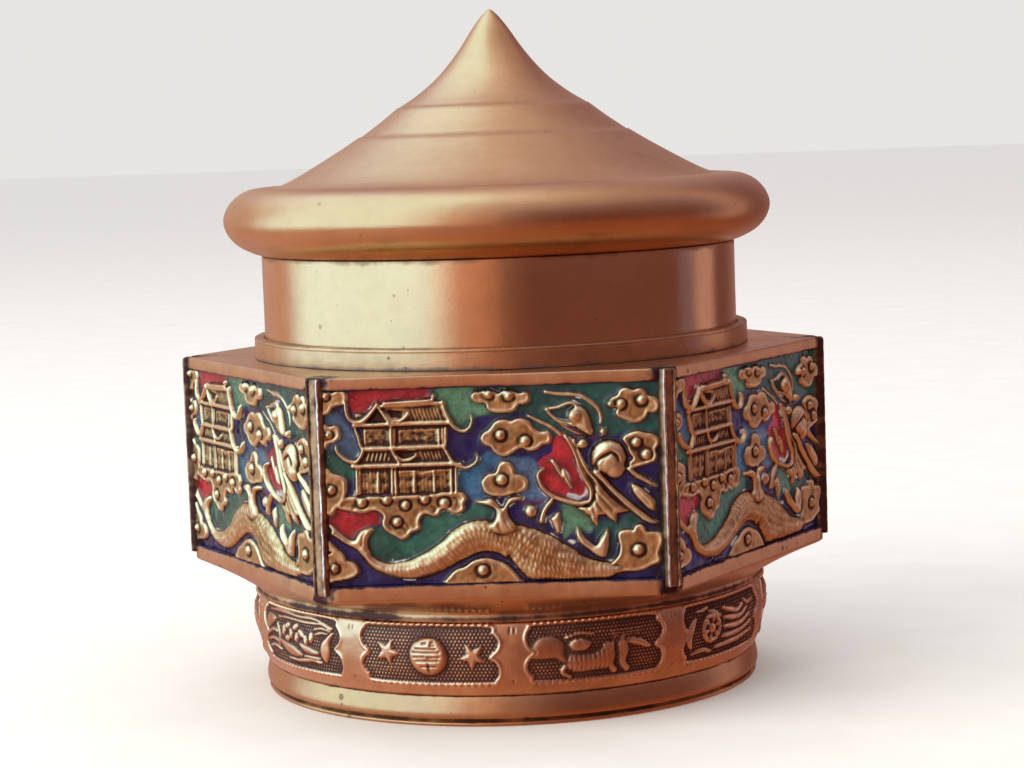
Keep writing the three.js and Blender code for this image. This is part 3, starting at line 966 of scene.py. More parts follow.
def star(x, y, radius, turn=90):
    points = []
    for i in range(10):
        a = math.radians(turn + 36 * i)
        reach = radius * (0.5 if i % 2 else 1)
        points.append((x + reach * math.cos(a), y + reach * math.sin(a)))
    return points


def stippled(field, cut, pitchU=0.58, pitchV=0.53, height=0.3):
    u, v = field["u"][cut], field["v"][cut]
    row = np.round(v / pitchV)
    shift = (row % 2) * 0.5 * pitchU
    du = u - shift - np.round((u - shift) / pitchU) * pitchU
    return height * np.clip(1 - (du**2 + (v - row * pitchV) ** 2) / 0.26**2, 0, 1) ** 0.6


def cartoucheLoop(x, y):
    right = [
        (8.4, -4.3), (10.2, -3.95), (10.9, -2.7), (10.55, -1.2), (9.5, -0.25), (10.6, 0.9), (10.9, 2.1),
        (10.0, 3.4), (8.2, 4.35),
    ]
    return [(x + a, y + b) for a, b in right] + [(x - a, y - b) for a, b in right]


def shifted(x, y, points):
    return [(x + p[0], y + p[1], *p[2:]) for p in points]


def medallionMotif(field, x, y):
    plate(field, star(x - 6.4, y + 0.3, 2.15, 66), 0.46, 0.7, steps=0)
    plate(field, star(x + 7.0, y - 0.1, 2.15, 48), 0.46, 0.7, steps=0)
    cut = windowRound(field, [(x + 0.2, y)], reach=4)
    near = np.hypot((field["u"][cut] - x - 0.2) / 3.1, (field["v"][cut] - y + 0.15) / 3.05)
    lift(field, cut, (1 - near) * 3.1, 0.78, 2.2)
    for path in (
        [(-1.7, 1.0), (1.5, 1.05)],
        [(-2.1, 0.5), (2.0, 0.55)],
        [(-1.9, -0.25), (-0.4, -0.2)],
        [(0.3, -0.25), (2.0, -0.2)],
        [(-1.6, -0.8), (1.8, -0.75)],
        [(0.2, -1.3), (0.3, -2.5)],
        [(-0.9, -1.7), (1.4, -1.65)],
        [(-0.6, 1.8), (0.0, 1.95)],
        [(0.7, 1.55), (1.3, 1.6)],
        [(0.8, 2.0), (1.1, 2.05)],
    ):
        groove(field, shifted(x, y, path), 0.15, 0.24, 0)


def beastMotif(field, x, y):
    # low beast: arched head on the left, oval boss over the back, flank and two legs
    plate(
        field,
        shifted(
            x, y,
            [
                (-10.3, -0.6), (-10.1, 1.3), (-8.8, 2.5), (-6.8, 2.5), (-5.4, 1.4), (-5.2, -0.3),
                (-4.6, -1.6), (-5.6, -1.6), (-6.6, -0.9), (-8.4, -0.9),
            ],
        ),
        0.5, 1.1,
    )
    plate(
        field,
        shifted(
            x, y,
            [
                (-4.6, -0.6), (-3.2, -0.3), (-0.8, -0.4), (1.2, 0.6), (2.4, 0.9), (2.6, -1.4),
                (1.8, -3.0), (-0.6, -3.2), (-3.4, -3.3), (-5.0, -2.4),
            ],
        ),
        0.6, 1.3,
    )
    cut = windowRound(field, [(x - 2.9, y + 1.0)], reach=3)
    lift(
        field, cut,
        (1 - np.hypot((field["u"][cut] - x + 2.9) / 1.75, (field["v"][cut] - y - 1.0) / 1.15)) * 1.2,
        0.62, 0.8,
    )
    for i in range(9):
        a = -4.2 + i * 0.72
        groove(field, shifted(x, y, [(a, -0.8 + 0.1 * i), (a + 0.15, -1.9), (a, -2.9)]), 0.1, 0.15)
    for path in (
        [(1.4, 0.4, 0.8), (2.0, -0.9, 0.8), (1.9, -2.4, 0.6), (2.6, -3.5, 0.5)],
        [(3.9, 0.6, 0.9), (4.0, -0.9, 0.85), (3.9, -2.4, 0.6), (4.7, -3.5, 0.5)],
        [(-5.2, -2.2, 0.4), (-5.6, -3.1, 0.36), (-4.4, -3.9, 0.3)],
        [(5.0, 0.9, 0.5), (6.6, 0.5, 0.6), (8.4, -0.4, 0.25)],
        [(-4.9, 2.2, 0.22), (-3.0, 2.75, 0.26), (-0.8, 2.5, 0.22)],
    ):
        bar(field, shifted(x, y, path), 0.5)
    for i in range(5):
        groove(
            field, shifted(x, y, [(1.6 + 0.2 * i, 2.8 - 0.42 * i), (7.4 - 0.3 * i, 2.75 - 0.42 * i)]),
            0.09, 0.12, 0,
        )
        bar(
            field,
            shifted(x, y, [(2.0 + 0.2 * i, 2.6 - 0.42 * i, 0.1), (7.2 - 0.3 * i, 2.55 - 0.42 * i, 0.1)]),
            0.3, 0,
        )
    speckle(
        field, shifted(x, y, [(-5, 1.6), (0.5, 0.4), (3, 0.6), (7, 0.6), (7.4, 2.8), (-5, 3)]), 0.16,
        0.28,
    )


def blossomMotif(field, x, y):
    # two blossoms of long petals, a drop-shaped leaf, arching stems and fanned leaves
    for px, py, turn, long in (
        (-3.2, 1.2, 80, 1.0), (-1.9, 2.1, 20, 0.85), (-1.0, 1.0, 100, 0.9), (-2.1, 0.1, 10, 0.8),
        (0.5, 2.2, 30, 0.9), (0.6, 0.6, 75, 0.9), (1.9, 1.3, 150, 1.0), (3.0, 0.4, 100, 0.9),
        (4.4, 1.0, 80, 0.95),
    ):
        a = math.radians(turn)
        long *= 0.45
        ends = [
            (px - long * math.cos(a), py - long * math.sin(a), 0.45), (px, py, 0.62),
            (px + long * math.cos(a), py + long * math.sin(a), 0.45),
        ]
        bar(field, shifted(x, y, ends), 0.55, 3)
        groove(field, shifted(x, y, [(px, py), (ends[2][0], ends[2][1])]), 0.16, 0.14, 0)
    plate(
        field,
        shifted(
            x, y,
            [
                (7.3, -2.6), (6.5, -1.2), (6.8, 0.4), (7.9, 1.4), (9.5, 2.4), (8.8, 0.9), (8.7, -0.8),
                (8.1, -2.0),
            ],
        ),
        0.62, 0.8,
    )
    plate(
        field,
        shifted(x, y, [(-5.0, -0.6), (-2.6, -0.5), (-0.2, -1.0), (1.8, -2.2), (-0.4, -2.7), (-3.0, -2.2)]),
        0.45, 0.8,
    )
    plate(field, shifted(x, y, [(1.0, -0.2), (3.4, -0.4), (6.0, -1.3), (4.2, -1.8), (2.0, -1.3)]), 0.45, 0.7)
    plate(
        field,
        shifted(x, y, [(-10.2, 1.2), (-9.4, 3.0), (-7.6, 3.4), (-6.0, 2.6), (-7.4, 1.4), (-9.0, 0.6)]),
        0.45, 0.9,
    )
    for path in (
        [(-8.4, 3.8, 0.2), (-4.0, 4.05, 0.24), (1.0, 3.9, 0.24), (5.4, 3.9, 0.24), (9.2, 2.9, 0.2)],
        [(-5.0, 3.1, 0.16), (-1.4, 3.3, 0.2), (3.0, 3.2, 0.2), (7.0, 3.3, 0.18), (9.0, 2.6, 0.14)],
        [(5.2, 2.4, 0.14), (7.0, 2.7, 0.18), (8.8, 2.4, 0.14)],
        [(5.4, 1.6, 0.14), (6.8, 2.0, 0.18), (8.2, 2.0, 0.14)],
        [(-9.6, -0.2, 0.2), (-7.6, 0.7, 0.34), (-5.6, 0.6, 0.2)],
        [(-9.8, -1.2, 0.2), (-7.4, -0.7, 0.3), (-5.4, -1.0, 0.2)],
        [(-9.4, -2.2, 0.2), (-7.2, -1.8, 0.3), (-5.0, -2.2, 0.2)],
        [(-5.4, 2.0, 0.2), (-4.8, 0.4, 0.34), (-5.2, -1.4, 0.24)],
        [(-2.6, -3.1, 0.2), (0.6, -3.1, 0.3), (4.0, -2.6, 0.3), (6.2, -2.8, 0.2)],
        [(2.2, -2.2, 0.16), (4.0, -2.1, 0.22), (6.0, -2.2, 0.16)],
    ):
        bar(field, shifted(x, y, path), 0.45)


def fruitMotif(field, x, y):
    # crescent leaf, curled flower and a mass of slanting leaves
    plate(
        field,
        shifted(
            x, y,
            [
                (-8.2, 2.4), (-9.6, 1.6), (-10.6, 0.0), (-10.2, -1.6), (-9.0, -2.4), (-9.2, -0.8),
                (-8.6, 0.8),
            ],
        ),
        0.55, 0.7,
    )
    for i in range(6):
        a = math.radians(60 * i + 20)
        b = math.radians(60 * i + 62)
        bar(
            field,
            shifted(
                x, y,
                [
                    (-4.6 + 1.0 * math.cos(a), 0.3 + 1.0 * math.sin(a), 0.3),
                    (-4.6 + 1.9 * math.cos(a), 0.3 + 1.9 * math.sin(a), 0.5),
                    (-4.6 + 2.1 * math.cos(b), 0.3 + 2.1 * math.sin(b), 0.3),
                ],
            ),
            0.55,
        )
    ball(field, x - 4.6, y + 0.3, 0.85, 0.7, 0.14)
    for path in (
        [(-5.2, 3.0, 0.2), (-3.8, 2.6, 0.4), (-2.4, 1.9, 0.2)],
        [(-1.6, 2.9, 0.2), (0.6, 2.3, 0.45), (2.8, 1.9, 0.4), (4.4, 2.5, 0.2)],
        [(-1.4, 1.4, 0.2), (1.2, 1.0, 0.5), (3.8, 0.9, 0.4), (6.0, 1.7, 0.2)],
        [(-1.4, 0.0, 0.2), (1.4, -0.3, 0.5), (4.4, -0.2, 0.45), (7.4, 0.6, 0.2)],
        [(-1.8, -1.5, 0.2), (1.0, -1.6, 0.5), (4.4, -1.4, 0.45), (8.0, -0.8, 0.2)],
        [(-3.4, -2.9, 0.2), (0.0, -2.8, 0.45), (4.0, -2.6, 0.45), (8.4, -2.2, 0.2)],
        [(-9.0, -3.2, 0.2), (-6.6, -2.9, 0.35), (-4.4, -3.4, 0.2)],
        [(-8.0, 3.2, 0.16), (-6.6, 3.3, 0.26), (-5.4, 3.6, 0.16)],
        [(5.2, 3.0, 0.2), (6.8, 2.4, 0.4), (8.6, 2.6, 0.2)],
    ):
        bar(field, shifted(x, y, path), 0.52)
        groove(field, shifted(x, y, path), 0.1, 0.16)


def wrappedBearing(bearing):
    # into the turn that starts where the band's columns start
    return (bearing - bandShape["firstBearing"]) % 360 + bandShape["firstBearing"]


def embossedBand():
    shape = bandShape
    middle = shape["middle"]
    bearing = shape["firstBearing"] + np.arange(shape["columns"]) * 360 / shape["columns"]
    z = np.linspace(shape["foot"], shape["top"], shape["rows"])
    field = newField(*np.meshgrid(bearing * perDegree, z))
    ground = np.zeros(field["u"].shape)
    motifs = [medallionMotif, beastMotif, fruitMotif, medallionMotif, blossomMotif]
    sunk = np.full(ground.shape, -5.0)
    for i in range(shape["cartouches"]):
        x = wrappedBearing(shape["frontBearing"] + 36 * i) * perDegree
        loop = curveThrough(cartoucheLoop(x, middle), 4, closed=True)
        cut = windowRound(field, loop)
        away = edgeDistance(field["u"][cut], field["v"][cut], loop)
        sunk[cut] = np.maximum(sunk[cut], away)
        motifs[i % 5](field, x, middle)
        ground[cut] += stippled(field, cut) * smooth(away / 0.25)
        # teeth over the frame and dashes under it
        teeth = np.clip(0.5 + 0.8 * np.cos(2 * np.pi * (field["u"][cut] - x) / 1.05), 0, 1)
        reach = np.abs(field["u"][cut] - x) < 9.6
        over = smooth(1 - np.abs(field["v"][cut] - middle - 4.75) / 0.45) * reach
        under = smooth(1 - np.abs(field["v"][cut] - middle + 4.7) / 0.28) * reach
        ground[cut] += (0.34 * over - 0.22 * under) * teeth
    figures = field["height"]
    inside = smooth((sunk + 0.05) / 0.3)
    border = 0.2 * np.exp(-(((sunk + 0.24) / 0.17) ** 2))
    rise = border + ground * (1 - inside) + inside * (-shape["sunk"] + np.maximum(ground, figures + 0.02))
    # marks between the cartouches
    for i in range(shape["cartouches"]):
        gapAt = wrappedBearing(shape["frontBearing"] + 18 + 36 * i) * perDegree
        for dx, low, high in ((-0.35, 14.2, 15.3), (0.35, 14.3, 15.2), (0.0, 6.7, 7.3)):
            near = np.abs(field["u"] - gapAt - dx)
            rise -= (
                0.16
                * np.exp(-((near / 0.13) ** 2))
                * smooth((field["v"] - low) / 0.2)
                * smooth((high - field["v"]) / 0.2)
            )
    rise += (
        0.02 * softNoise(field["u"], field["v"], 1.1, 21)
        + 0.05 * softNoise(field["u"], field["v"], 5, 22)
    )
    edge = np.minimum(field["v"] - shape["foot"], shape["top"] - field["v"])
    rise -= 0.12 * (1 - smooth(edge / 0.35))
    profile = curveThrough(shape["profile"], 6)
    radius = np.interp(field["v"], profile[:, 0], profile[:, 1]) + rise
    # darker in hollows and over the sunk cartouche grounds, partly patina and partly painted shade; low
    # values on raised points brighten them, partly wear and partly painted highlight
    hollow = blurred(rise, 3, wrap=True) - rise
    wide = blurred(rise, 9, wrap=True) - rise
    hollow = np.clip(0.5 + 1.5 * hollow + 0.75 * wide + 0.25 * inside - 0.12, 0, 1)

    front = bearingPoint(radius, bearing[None, :], field["v"]).reshape(-1, 3)
    back = np.concatenate(
        [
            bearingPoint(shape["inner"] + k, bearing, level) for k,
            level in ((0, shape["foot"]), (1.6, shape["top"]))
        ]
    )
    count, rows = shape["columns"], shape["rows"]
    faces = gridFaces(rows, count, around=True)
    faces += gridFaces(2, count, start=rows * count, around=True, flip=True)
    top, low, high = (rows - 1) * count, rows * count, (rows + 1) * count
    for j in range(count):
        k = (j + 1) % count
        faces.append([j, low + j, low + k, k])
        faces.append([top + j, top + k, high + k, high + j])
    piece = pieceOf(
        "band_embossed", np.concatenate([front, back]), faces, bandBrass,
        ["embossed_band"], sharp=0,
    )
    storeOn(piece, "hollow", np.concatenate([hollow.ravel(), np.full(2 * count, 0.6)]))
    return piece


embossedBand()
print("embossed band ready")

# Enamelled panels

panelShape = {
    "face": 44.2,  # from the axis to the enamel
    "back": 42.92,
    "half": 24.72,
    "foot": 22.62,
    "top": 51.48,
    "step": 0.16,
}
enamels = {
    "red": (0.40, 0.018, 0.022),
    "green": (0.028, 0.115, 0.080),
    "paleGreen": (0.095, 0.20, 0.115),
    "teal": (0.012, 0.062, 0.050),
    "navy": (0.014, 0.010, 0.075),
    "dark": (0.014, 0.008, 0.024),
    "blue": (0.030, 0.100, 0.190),
    "greyBlue": (0.075, 0.125, 0.21),
    "purple": (0.10, 0.03, 0.09),
    "white": (0.72, 0.68, 0.64),
}
# outlines of each colour, laid down in this order over the navy ground; the last number is how softly it ends
enamelFields = [
    (
        "teal",
        [
            (-3.61, 53.27), (25.83, 52.35), (25.61, 44.27), (19.9, 44.45), (16.69, 43.58), (10.66, 43.93),
            (9.88, 44.28), (8.74, 43.5), (-3.96, 43.9),
        ],
        0.4,
    ),
    (
        "dark",
        [
            (24.49, 52.39), (26.47, 52.33), (25.6, 20.18), (22.55, 20.28), (23.16, 30.44), (23.85, 32.36),
            (23.51, 37.22), (24.4, 40.43), (24.72, 46.56),
        ],
        0.5,
    ),
    (
        "paleGreen",
        [
            (-8.06, 52.58), (-2.51, 52.4), (-2.43, 49.82), (-0.83, 49.03), (0.03, 47.71), (-2.74, 47.07),
            (-4.05, 46.19), (-5.32, 46.23), (-6.36, 47.55), (-6.83, 49.41), (-7.9, 49.99),
        ],
        0.4,
    ),
    (
        "red",
        [
            (-20.89, 49.67), (-20.97, 51.33), (-20.36, 52.6), (-16.16, 52.84), (-9.42, 52.62),
            (-9.04, 50.95), (-9.36, 49.86), (-15.94, 49.61), (-16.49, 49.53), (-17.44, 48.64),
            (-18.18, 48.29), (-19.47, 47.97), (-20.19, 48.08), (-20.51, 49.29),
        ],
        0.15,
    ),
    (
        "greyBlue",
        [
            (-25.48, 48.16), (-22.57, 48.07), (-21, 46.36), (-19.61, 44.84), (-19.14, 42.98),
            (-19.76, 41.34), (-21.58, 41.4), (-22.96, 43.1), (-23.51, 43.12), (-25.69, 43.19),
        ],
        0.4,
    ),
    (
        "green",
        [
            (-25.72, 42.45), (-23.37, 42.19), (-21.59, 41.03), (-19.79, 40.6), (-20.04, 38.95),
            (-21.35, 38.26), (-23.67, 39.44), (-25.84, 39.88),
        ],
        0.4,
    ),
    (
        "navy",
        [
            (-5.71, 45.69), (-2.82, 45.04), (-2.01, 47.04), (1.83, 47.2), (5.47, 47.17), (5.42, 46.07),
            (0.7, 46.4), (-1.38, 44.63), (-1.63, 43.16), (-0.03, 42.19), (-2.25, 41.34), (-3.96, 39.92),
            (-6.06, 41.83), (-6.73, 43.32), (-6.45, 45.52),
        ],
        0.35,
    ),
    (
        "blue",
        [
            (-5.05, 39.95), (-2.87, 39.79), (-1.9, 41.14), (-0.04, 42), (3.39, 41.16), (6.1, 40.7),
            (6.01, 38.49), (0.58, 39.4), (-1.49, 37.99), (-1.72, 36.9), (-0.51, 35.38), (-2.54, 34.71),
            (-3.96, 35.58), (-5.2, 36.45),
        ],
        0.35,
    ),
    (
        "greyBlue",
        [
            (0.72, 41.49), (4.82, 40.55), (6.4, 40.18), (6.84, 39.03), (6.4, 37.75), (6.91, 36.28),
            (7.84, 35.61), (7.96, 34.47), (7.29, 33.36), (4.9, 33.43), (4.78, 34.73), (3.05, 35.43),
            (4.07, 37.18), (2.88, 39.48), (1.31, 40.18),
        ],
        0.35,
    ),
    ("purple", [(3.53, 35.42), (5.26, 34.72), (7.5, 34.81), (7.29, 33.52), (4.9, 33.59), (3.96, 33.95)], 0.6),
    (
        "red",
        [
            (-24.99, 34.13), (-21.72, 33.75), (-17.53, 33.71), (-16.67, 32.58), (-17.27, 31.31),
            (-18.93, 30.81), (-20.26, 29.56), (-21.18, 29.41), (-23.31, 30.76), (-25.08, 32.11),
        ],
        0.15,
    ),
    (
        "green",
        [
            (-18.37, 31.16), (-16.72, 31.48), (-16.01, 30.9), (-14.6, 29.75), (-13.54, 29.16),
            (-12.42, 29.68), (-10.54, 30.91), (-10.46, 32.93), (-7.89, 33.22), (-4.24, 33.29),
            (-2.54, 34.71), (-0.57, 33.91), (0.08, 32.05), (-4.33, 31.26), (-6.57, 30.05), (-9.97, 27.39),
            (-13.69, 25.66), (-16.6, 25.76), (-18.86, 28.23),
        ],
        0.3,
    ),
    (
        "red",
        [
            (9.64, 44.36), (10.82, 43.92), (11.73, 42.44), (12.45, 39.99), (13.17, 37.71), (13.92, 36.23),
            (13.56, 34.94), (12.27, 34.58), (8.79, 35.42), (7.71, 36.42), (6.97, 38.06), (6.69, 39.36),
            (6.16, 40.19), (7.87, 41.1), (8.53, 41.89), (8.74, 43.34),
        ],
        0.12,
    ),
    (
        "purple",
        [
            (11.36, 45.69), (13.54, 44.32), (16.07, 43.92), (15.09, 43.31), (13.52, 43.68),
            (12.52, 42.42), (13.27, 40.78), (14.3, 38.16), (13.35, 38.51), (12.47, 40.8), (11.75, 43.25),
        ],
        0.4,
    ),
    (
        "white",
        [
            (10.86, 35.27), (12.29, 35.02), (13.1, 35.57), (13.38, 36.41), (13.71, 35.75), (13.32, 34.87),
            (12.35, 34.46), (11.16, 34.82),
        ],
        0.1,
    ),
    (
        "paleGreen",
        [
            (9.86, 33.93), (11.93, 33.7), (14.1, 31.86), (14.69, 30.38), (13.71, 29.44), (11.66, 30.48),
            (10.16, 28.58), (9.59, 30.54), (9.97, 32.47),
        ],
        0.4,
    ),
    (
        "teal",
        [
            (14.39, 31.04), (17.75, 31.26), (19.54, 32.17), (21.74, 31.13), (21.08, 30.35),
            (19.47, 29.91), (17.87, 29.64), (17.12, 26.1), (15.83, 25.82), (16.74, 29.35), (14.63, 28.44),
        ],
        0.4,
    ),
    (
        "navy",
        [
            (-25.14, 30.64), (-23.35, 29.84), (-20.52, 27.91), (-18.62, 25.45), (-15.6, 23.7),
            (-10.13, 23.52), (-6.79, 24.89), (-2.15, 26.96), (0.57, 26.5), (3.4, 24.57), (4.3, 20.12),
            (-25.55, 21.07),
        ],
        0.3,
    ),
    ("purple", [(4.63, 25.84), (6.36, 24.82), (6.62, 23.19), (4.86, 23.25), (3.79, 24.57)], 0.6),
    ("white", [(16.22, 25.56), (17.11, 25.7), (17.6, 26.25), (17.5, 25.44), (16.61, 25.07)], 0.1),
    # a pale fleck painted as a highlight on the dragon's back ridge, laid down as white enamel
    ("white", [(10.24, 28.58), (10.81, 28.76), (11.59, 28.38), (11.26, 27.98), (10.47, 28.17)], 0.1),
]
pictureClouds = [
    {
        "outline": [
            (-2.79, 50.11), (-2.36, 50.7), (-1.49, 50.67), (-0.75, 50.91), (0.35, 50.87), (1.14, 50.35),
            (1.98, 50.79), (3.08, 50.79), (4.15, 50.26), (4.89, 50.51), (5.6, 50.21), (5.65, 49.29),
            (5, 48.85), (4.17, 48.78), (3.7, 48.24), (3.13, 47.8), (1.66, 47.63), (0.21, 47.8),
            (-0.5, 48.28), (-0.73, 49.12), (-1.73, 49.21), (-2.48, 49.55),
        ],
        "bosses": [(-0.22, 50.39, 0.62), (2.68, 50.03, 0.64)],
    },
    {
        "outline": [
            (-1.6, 43.8), (-1.29, 44.59), (-0.45, 45.06), (0.08, 45.69), (0.7, 46.31), (1.8, 46.52),
            (2.88, 46.24), (3.62, 46.59), (4.72, 46.55), (5.6, 45.97), (6.11, 45.12), (7, 44.54),
            (8.1, 44.6), (8.61, 43.94), (8.39, 43.02), (7.29, 42.78), (6.53, 42.16), (5.43, 41.92),
            (4.17, 42.42), (3.05, 41.81), (2.12, 41.29), (1.21, 41.41), (0.32, 41.95), (-0.19, 42.71),
            (-1.05, 43.1),
        ],
        "bosses": [(1.29, 44.36, 0.7), (4.84, 43.38, 0.74)],
    },
    {
        "outline": [
            (-1.7, 37.26), (-1.45, 37.9), (-0.83, 38.53), (0.22, 38.68), (0.6, 39.13), (0.82, 39.8),
            (1.53, 40.37), (2.44, 40.21), (2.99, 39.42), (3.1, 38.59), (3.99, 38.28), (4.88, 37.61),
            (4.83, 36.59), (3.89, 35.89), (2.97, 35.73), (1.69, 35.46), (0.04, 35.46), (-1.17, 36.1),
        ],
        "bosses": [(1.24, 37.81, 0.78)],
    },
    {
        "outline": [
            (16.89, 48.55), (17.5, 49.18), (18.46, 49.59), (18.83, 50.3), (19.76, 50.65), (20.7, 50.28),
            (21.66, 50.54), (22.36, 50.11), (22.71, 49.5), (23.68, 49.15), (24.38, 48.35), (24.27, 47.39),
            (23.62, 47), (22.83, 47.08), (22.46, 46.31), (21.52, 45.69), (20.41, 45.7), (19.31, 46.17),
            (18.37, 46.6), (18.15, 47.09), (18.37, 47.7), (17.7, 47.88), (17.07, 48.06),
        ],
        "bosses": [(18.9, 48.36, 0.66), (21.93, 48.83, 0.68), (17.35, 48.44, 0.48)],
    },
    {
        "outline": [
            (19.03, 43.18), (19.72, 43.84), (21.16, 44.25), (22.43, 43.92), (23.37, 43.7), (24.18, 43.02),
            (24.13, 42.22), (23.71, 41.58), (23.85, 40.77), (23.59, 39.97), (22.3, 39.49), (21.18, 39.16),
            (20.06, 39.11), (19.84, 39.76), (20.49, 40.31), (19.93, 41.22), (19.67, 42.19),
        ],
        "bosses": [(20.96, 42.64, 0.7), (22.37, 40.9, 0.74)],
    },
    {
        "outline": [
            (17.98, 29.31), (18.51, 29.75), (19.55, 29.83), (20.19, 29.73), (20.44, 30.33),
            (21.09, 30.59), (21.75, 30.29), (22.05, 29.51), (23.13, 29.44), (24.24, 29.08),
            (24.41, 28.14), (24, 27.15), (23.71, 26.22), (23.99, 25.65), (23.81, 25.01), (23, 24.71),
            (22.03, 24.25), (20.89, 23.85), (18.97, 23.81), (17.69, 23.95), (16.19, 24.59),
            (16.93, 25.06), (17.89, 26.08), (18.21, 27.28), (17.99, 28.34),
        ],
        "bosses": [(20.82, 26.96, 0.8)],
    },
    {
        "outline": [
            (-6.93, 22.5), (-6.65, 23.93), (-5.89, 24.64), (-4.6, 25.1), (-3.47, 25.86), (-2.18, 26.22),
            (-0.9, 26.18), (0.36, 25.77), (1.6, 25.14), (2.65, 24.04), (3.34, 23.1), (3.66, 21.98),
        ],
        "bosses": [(-1.94, 24.55, 0.78)],
    },
    {
        "outline": [
            (-25.71, 51.21), (-24.6, 51.6), (-23.68, 51.69), (-22.98, 51.21), (-22.04, 51.73),
            (-21.15, 51.34), (-20.9, 50.41), (-21.37, 49.59), (-22.33, 49.38), (-23.07, 49.15),
            (-23.46, 48.43), (-24.21, 48.08), (-25.65, 48.35),
        ],
        "bosses": [(-24, 50.78, 0.5)],
    },
    {
        "outline": [
            (-25.91, 46.7), (-24.45, 46.74), (-23.74, 46.26), (-22.82, 46.41), (-22.12, 45.65),
            (-22.16, 44.7), (-22.92, 44.1), (-23.84, 43.83), (-24.42, 43.15), (-26.07, 42.83),
        ],
        "bosses": [(-23.78, 45.15, 0.55)],
    },
    {
        "outline": [
            (-26.18, 40.25), (-24.37, 40.05), (-23.48, 39.43), (-22.41, 39.03), (-21.61, 38.41),
            (-21.54, 37.16), (-21.72, 35.97), (-22.4, 34.94), (-23.17, 34.17), (-23.84, 33.32),
            (-24.65, 33.57), (-26.45, 34),
        ],
        "bosses": [(-23.73, 37.04, 0.66)],
    },
    {
        "outline": [
            (-25.3, 26.96), (-23.99, 27.65), (-23.11, 27.07), (-22.04, 26.48), (-20.78, 26.08),
            (-20.15, 25.1), (-20.49, 24.37), (-21.6, 23.85), (-23.81, 23.52), (-25.46, 23.27),
        ],
        "bosses": [(-23.72, 25.43, 0.6)],
    },
    {
        "outline": [
            (-25.52, 30.28), (-24.46, 29.6), (-23.42, 28.37), (-22.33, 27.41), (-22, 26.48),
            (-22.93, 26.88), (-23.99, 27.84), (-25.24, 28.43),
        ],
        "bosses": [],
    },
]
dragonBody = {
    "upper": [
        (-18.5, 28.21), (-17.82, 27.05), (-16.76, 26.32), (-15.5, 26), (-13.66, 26.22), (-12, 26.72),
        (-10.88, 27.23), (-9.58, 27.93), (-8.07, 28.99), (-6.93, 30.06), (-5.99, 30.76), (-5.06, 31.32),
        (-3.76, 31.8), (-2.47, 32.02), (-0.65, 32.03), (0.8, 31.84), (2.91, 31.47), (4.49, 30.94),
        (6.07, 30.41), (7.96, 29.62), (9.84, 28.43), (11.72, 27.24), (13.28, 26.25), (15.34, 25.54),
        (17.73, 25.03), (18.67, 24.6),
    ],
    "lower": [
        (-20.32, 28.27), (-19.65, 26.96), (-18.61, 25.64), (-17.38, 24.68), (-15.59, 23.88),
        (-13.78, 23.55), (-11.96, 23.43), (-10.13, 23.71), (-8.27, 24.35), (-6.78, 25.08), (-5.48, 25.77),
        (-3.62, 26.63), (-2.14, 27.1), (-0.86, 27.1), (0.58, 26.69), (1.99, 25.72), (1.77, 26.41),
        (2.68, 25.09), (3.76, 23.77), (4.85, 22.84), (6.92, 22.66), (9.64, 22.61), (12.85, 22.6),
        (16.06, 22.71), (17.67, 23.17), (18.65, 23.63),
    ],
    "spine": [
        (-19.44, 27.6, 1), (-18.57, 26.56, 1), (-16.99, 25.22, 1), (-15.19, 24.7, 1), (-12.63, 24.71, 1),
        (-10.41, 25.56, 1), (-8.18, 26.6, 1), (-6.3, 27.92, 1), (-4.42, 29.06, 1), (-2.21, 29.63, 1),
        (-0.04, 29.29, 1), (2.81, 28.48, 1), (4.67, 26.81, 1), (6.87, 25.93, 1), (9.41, 25.21, 1),
        (12.91, 24.45, 1), (17.7, 23.98, 1),
    ],
}


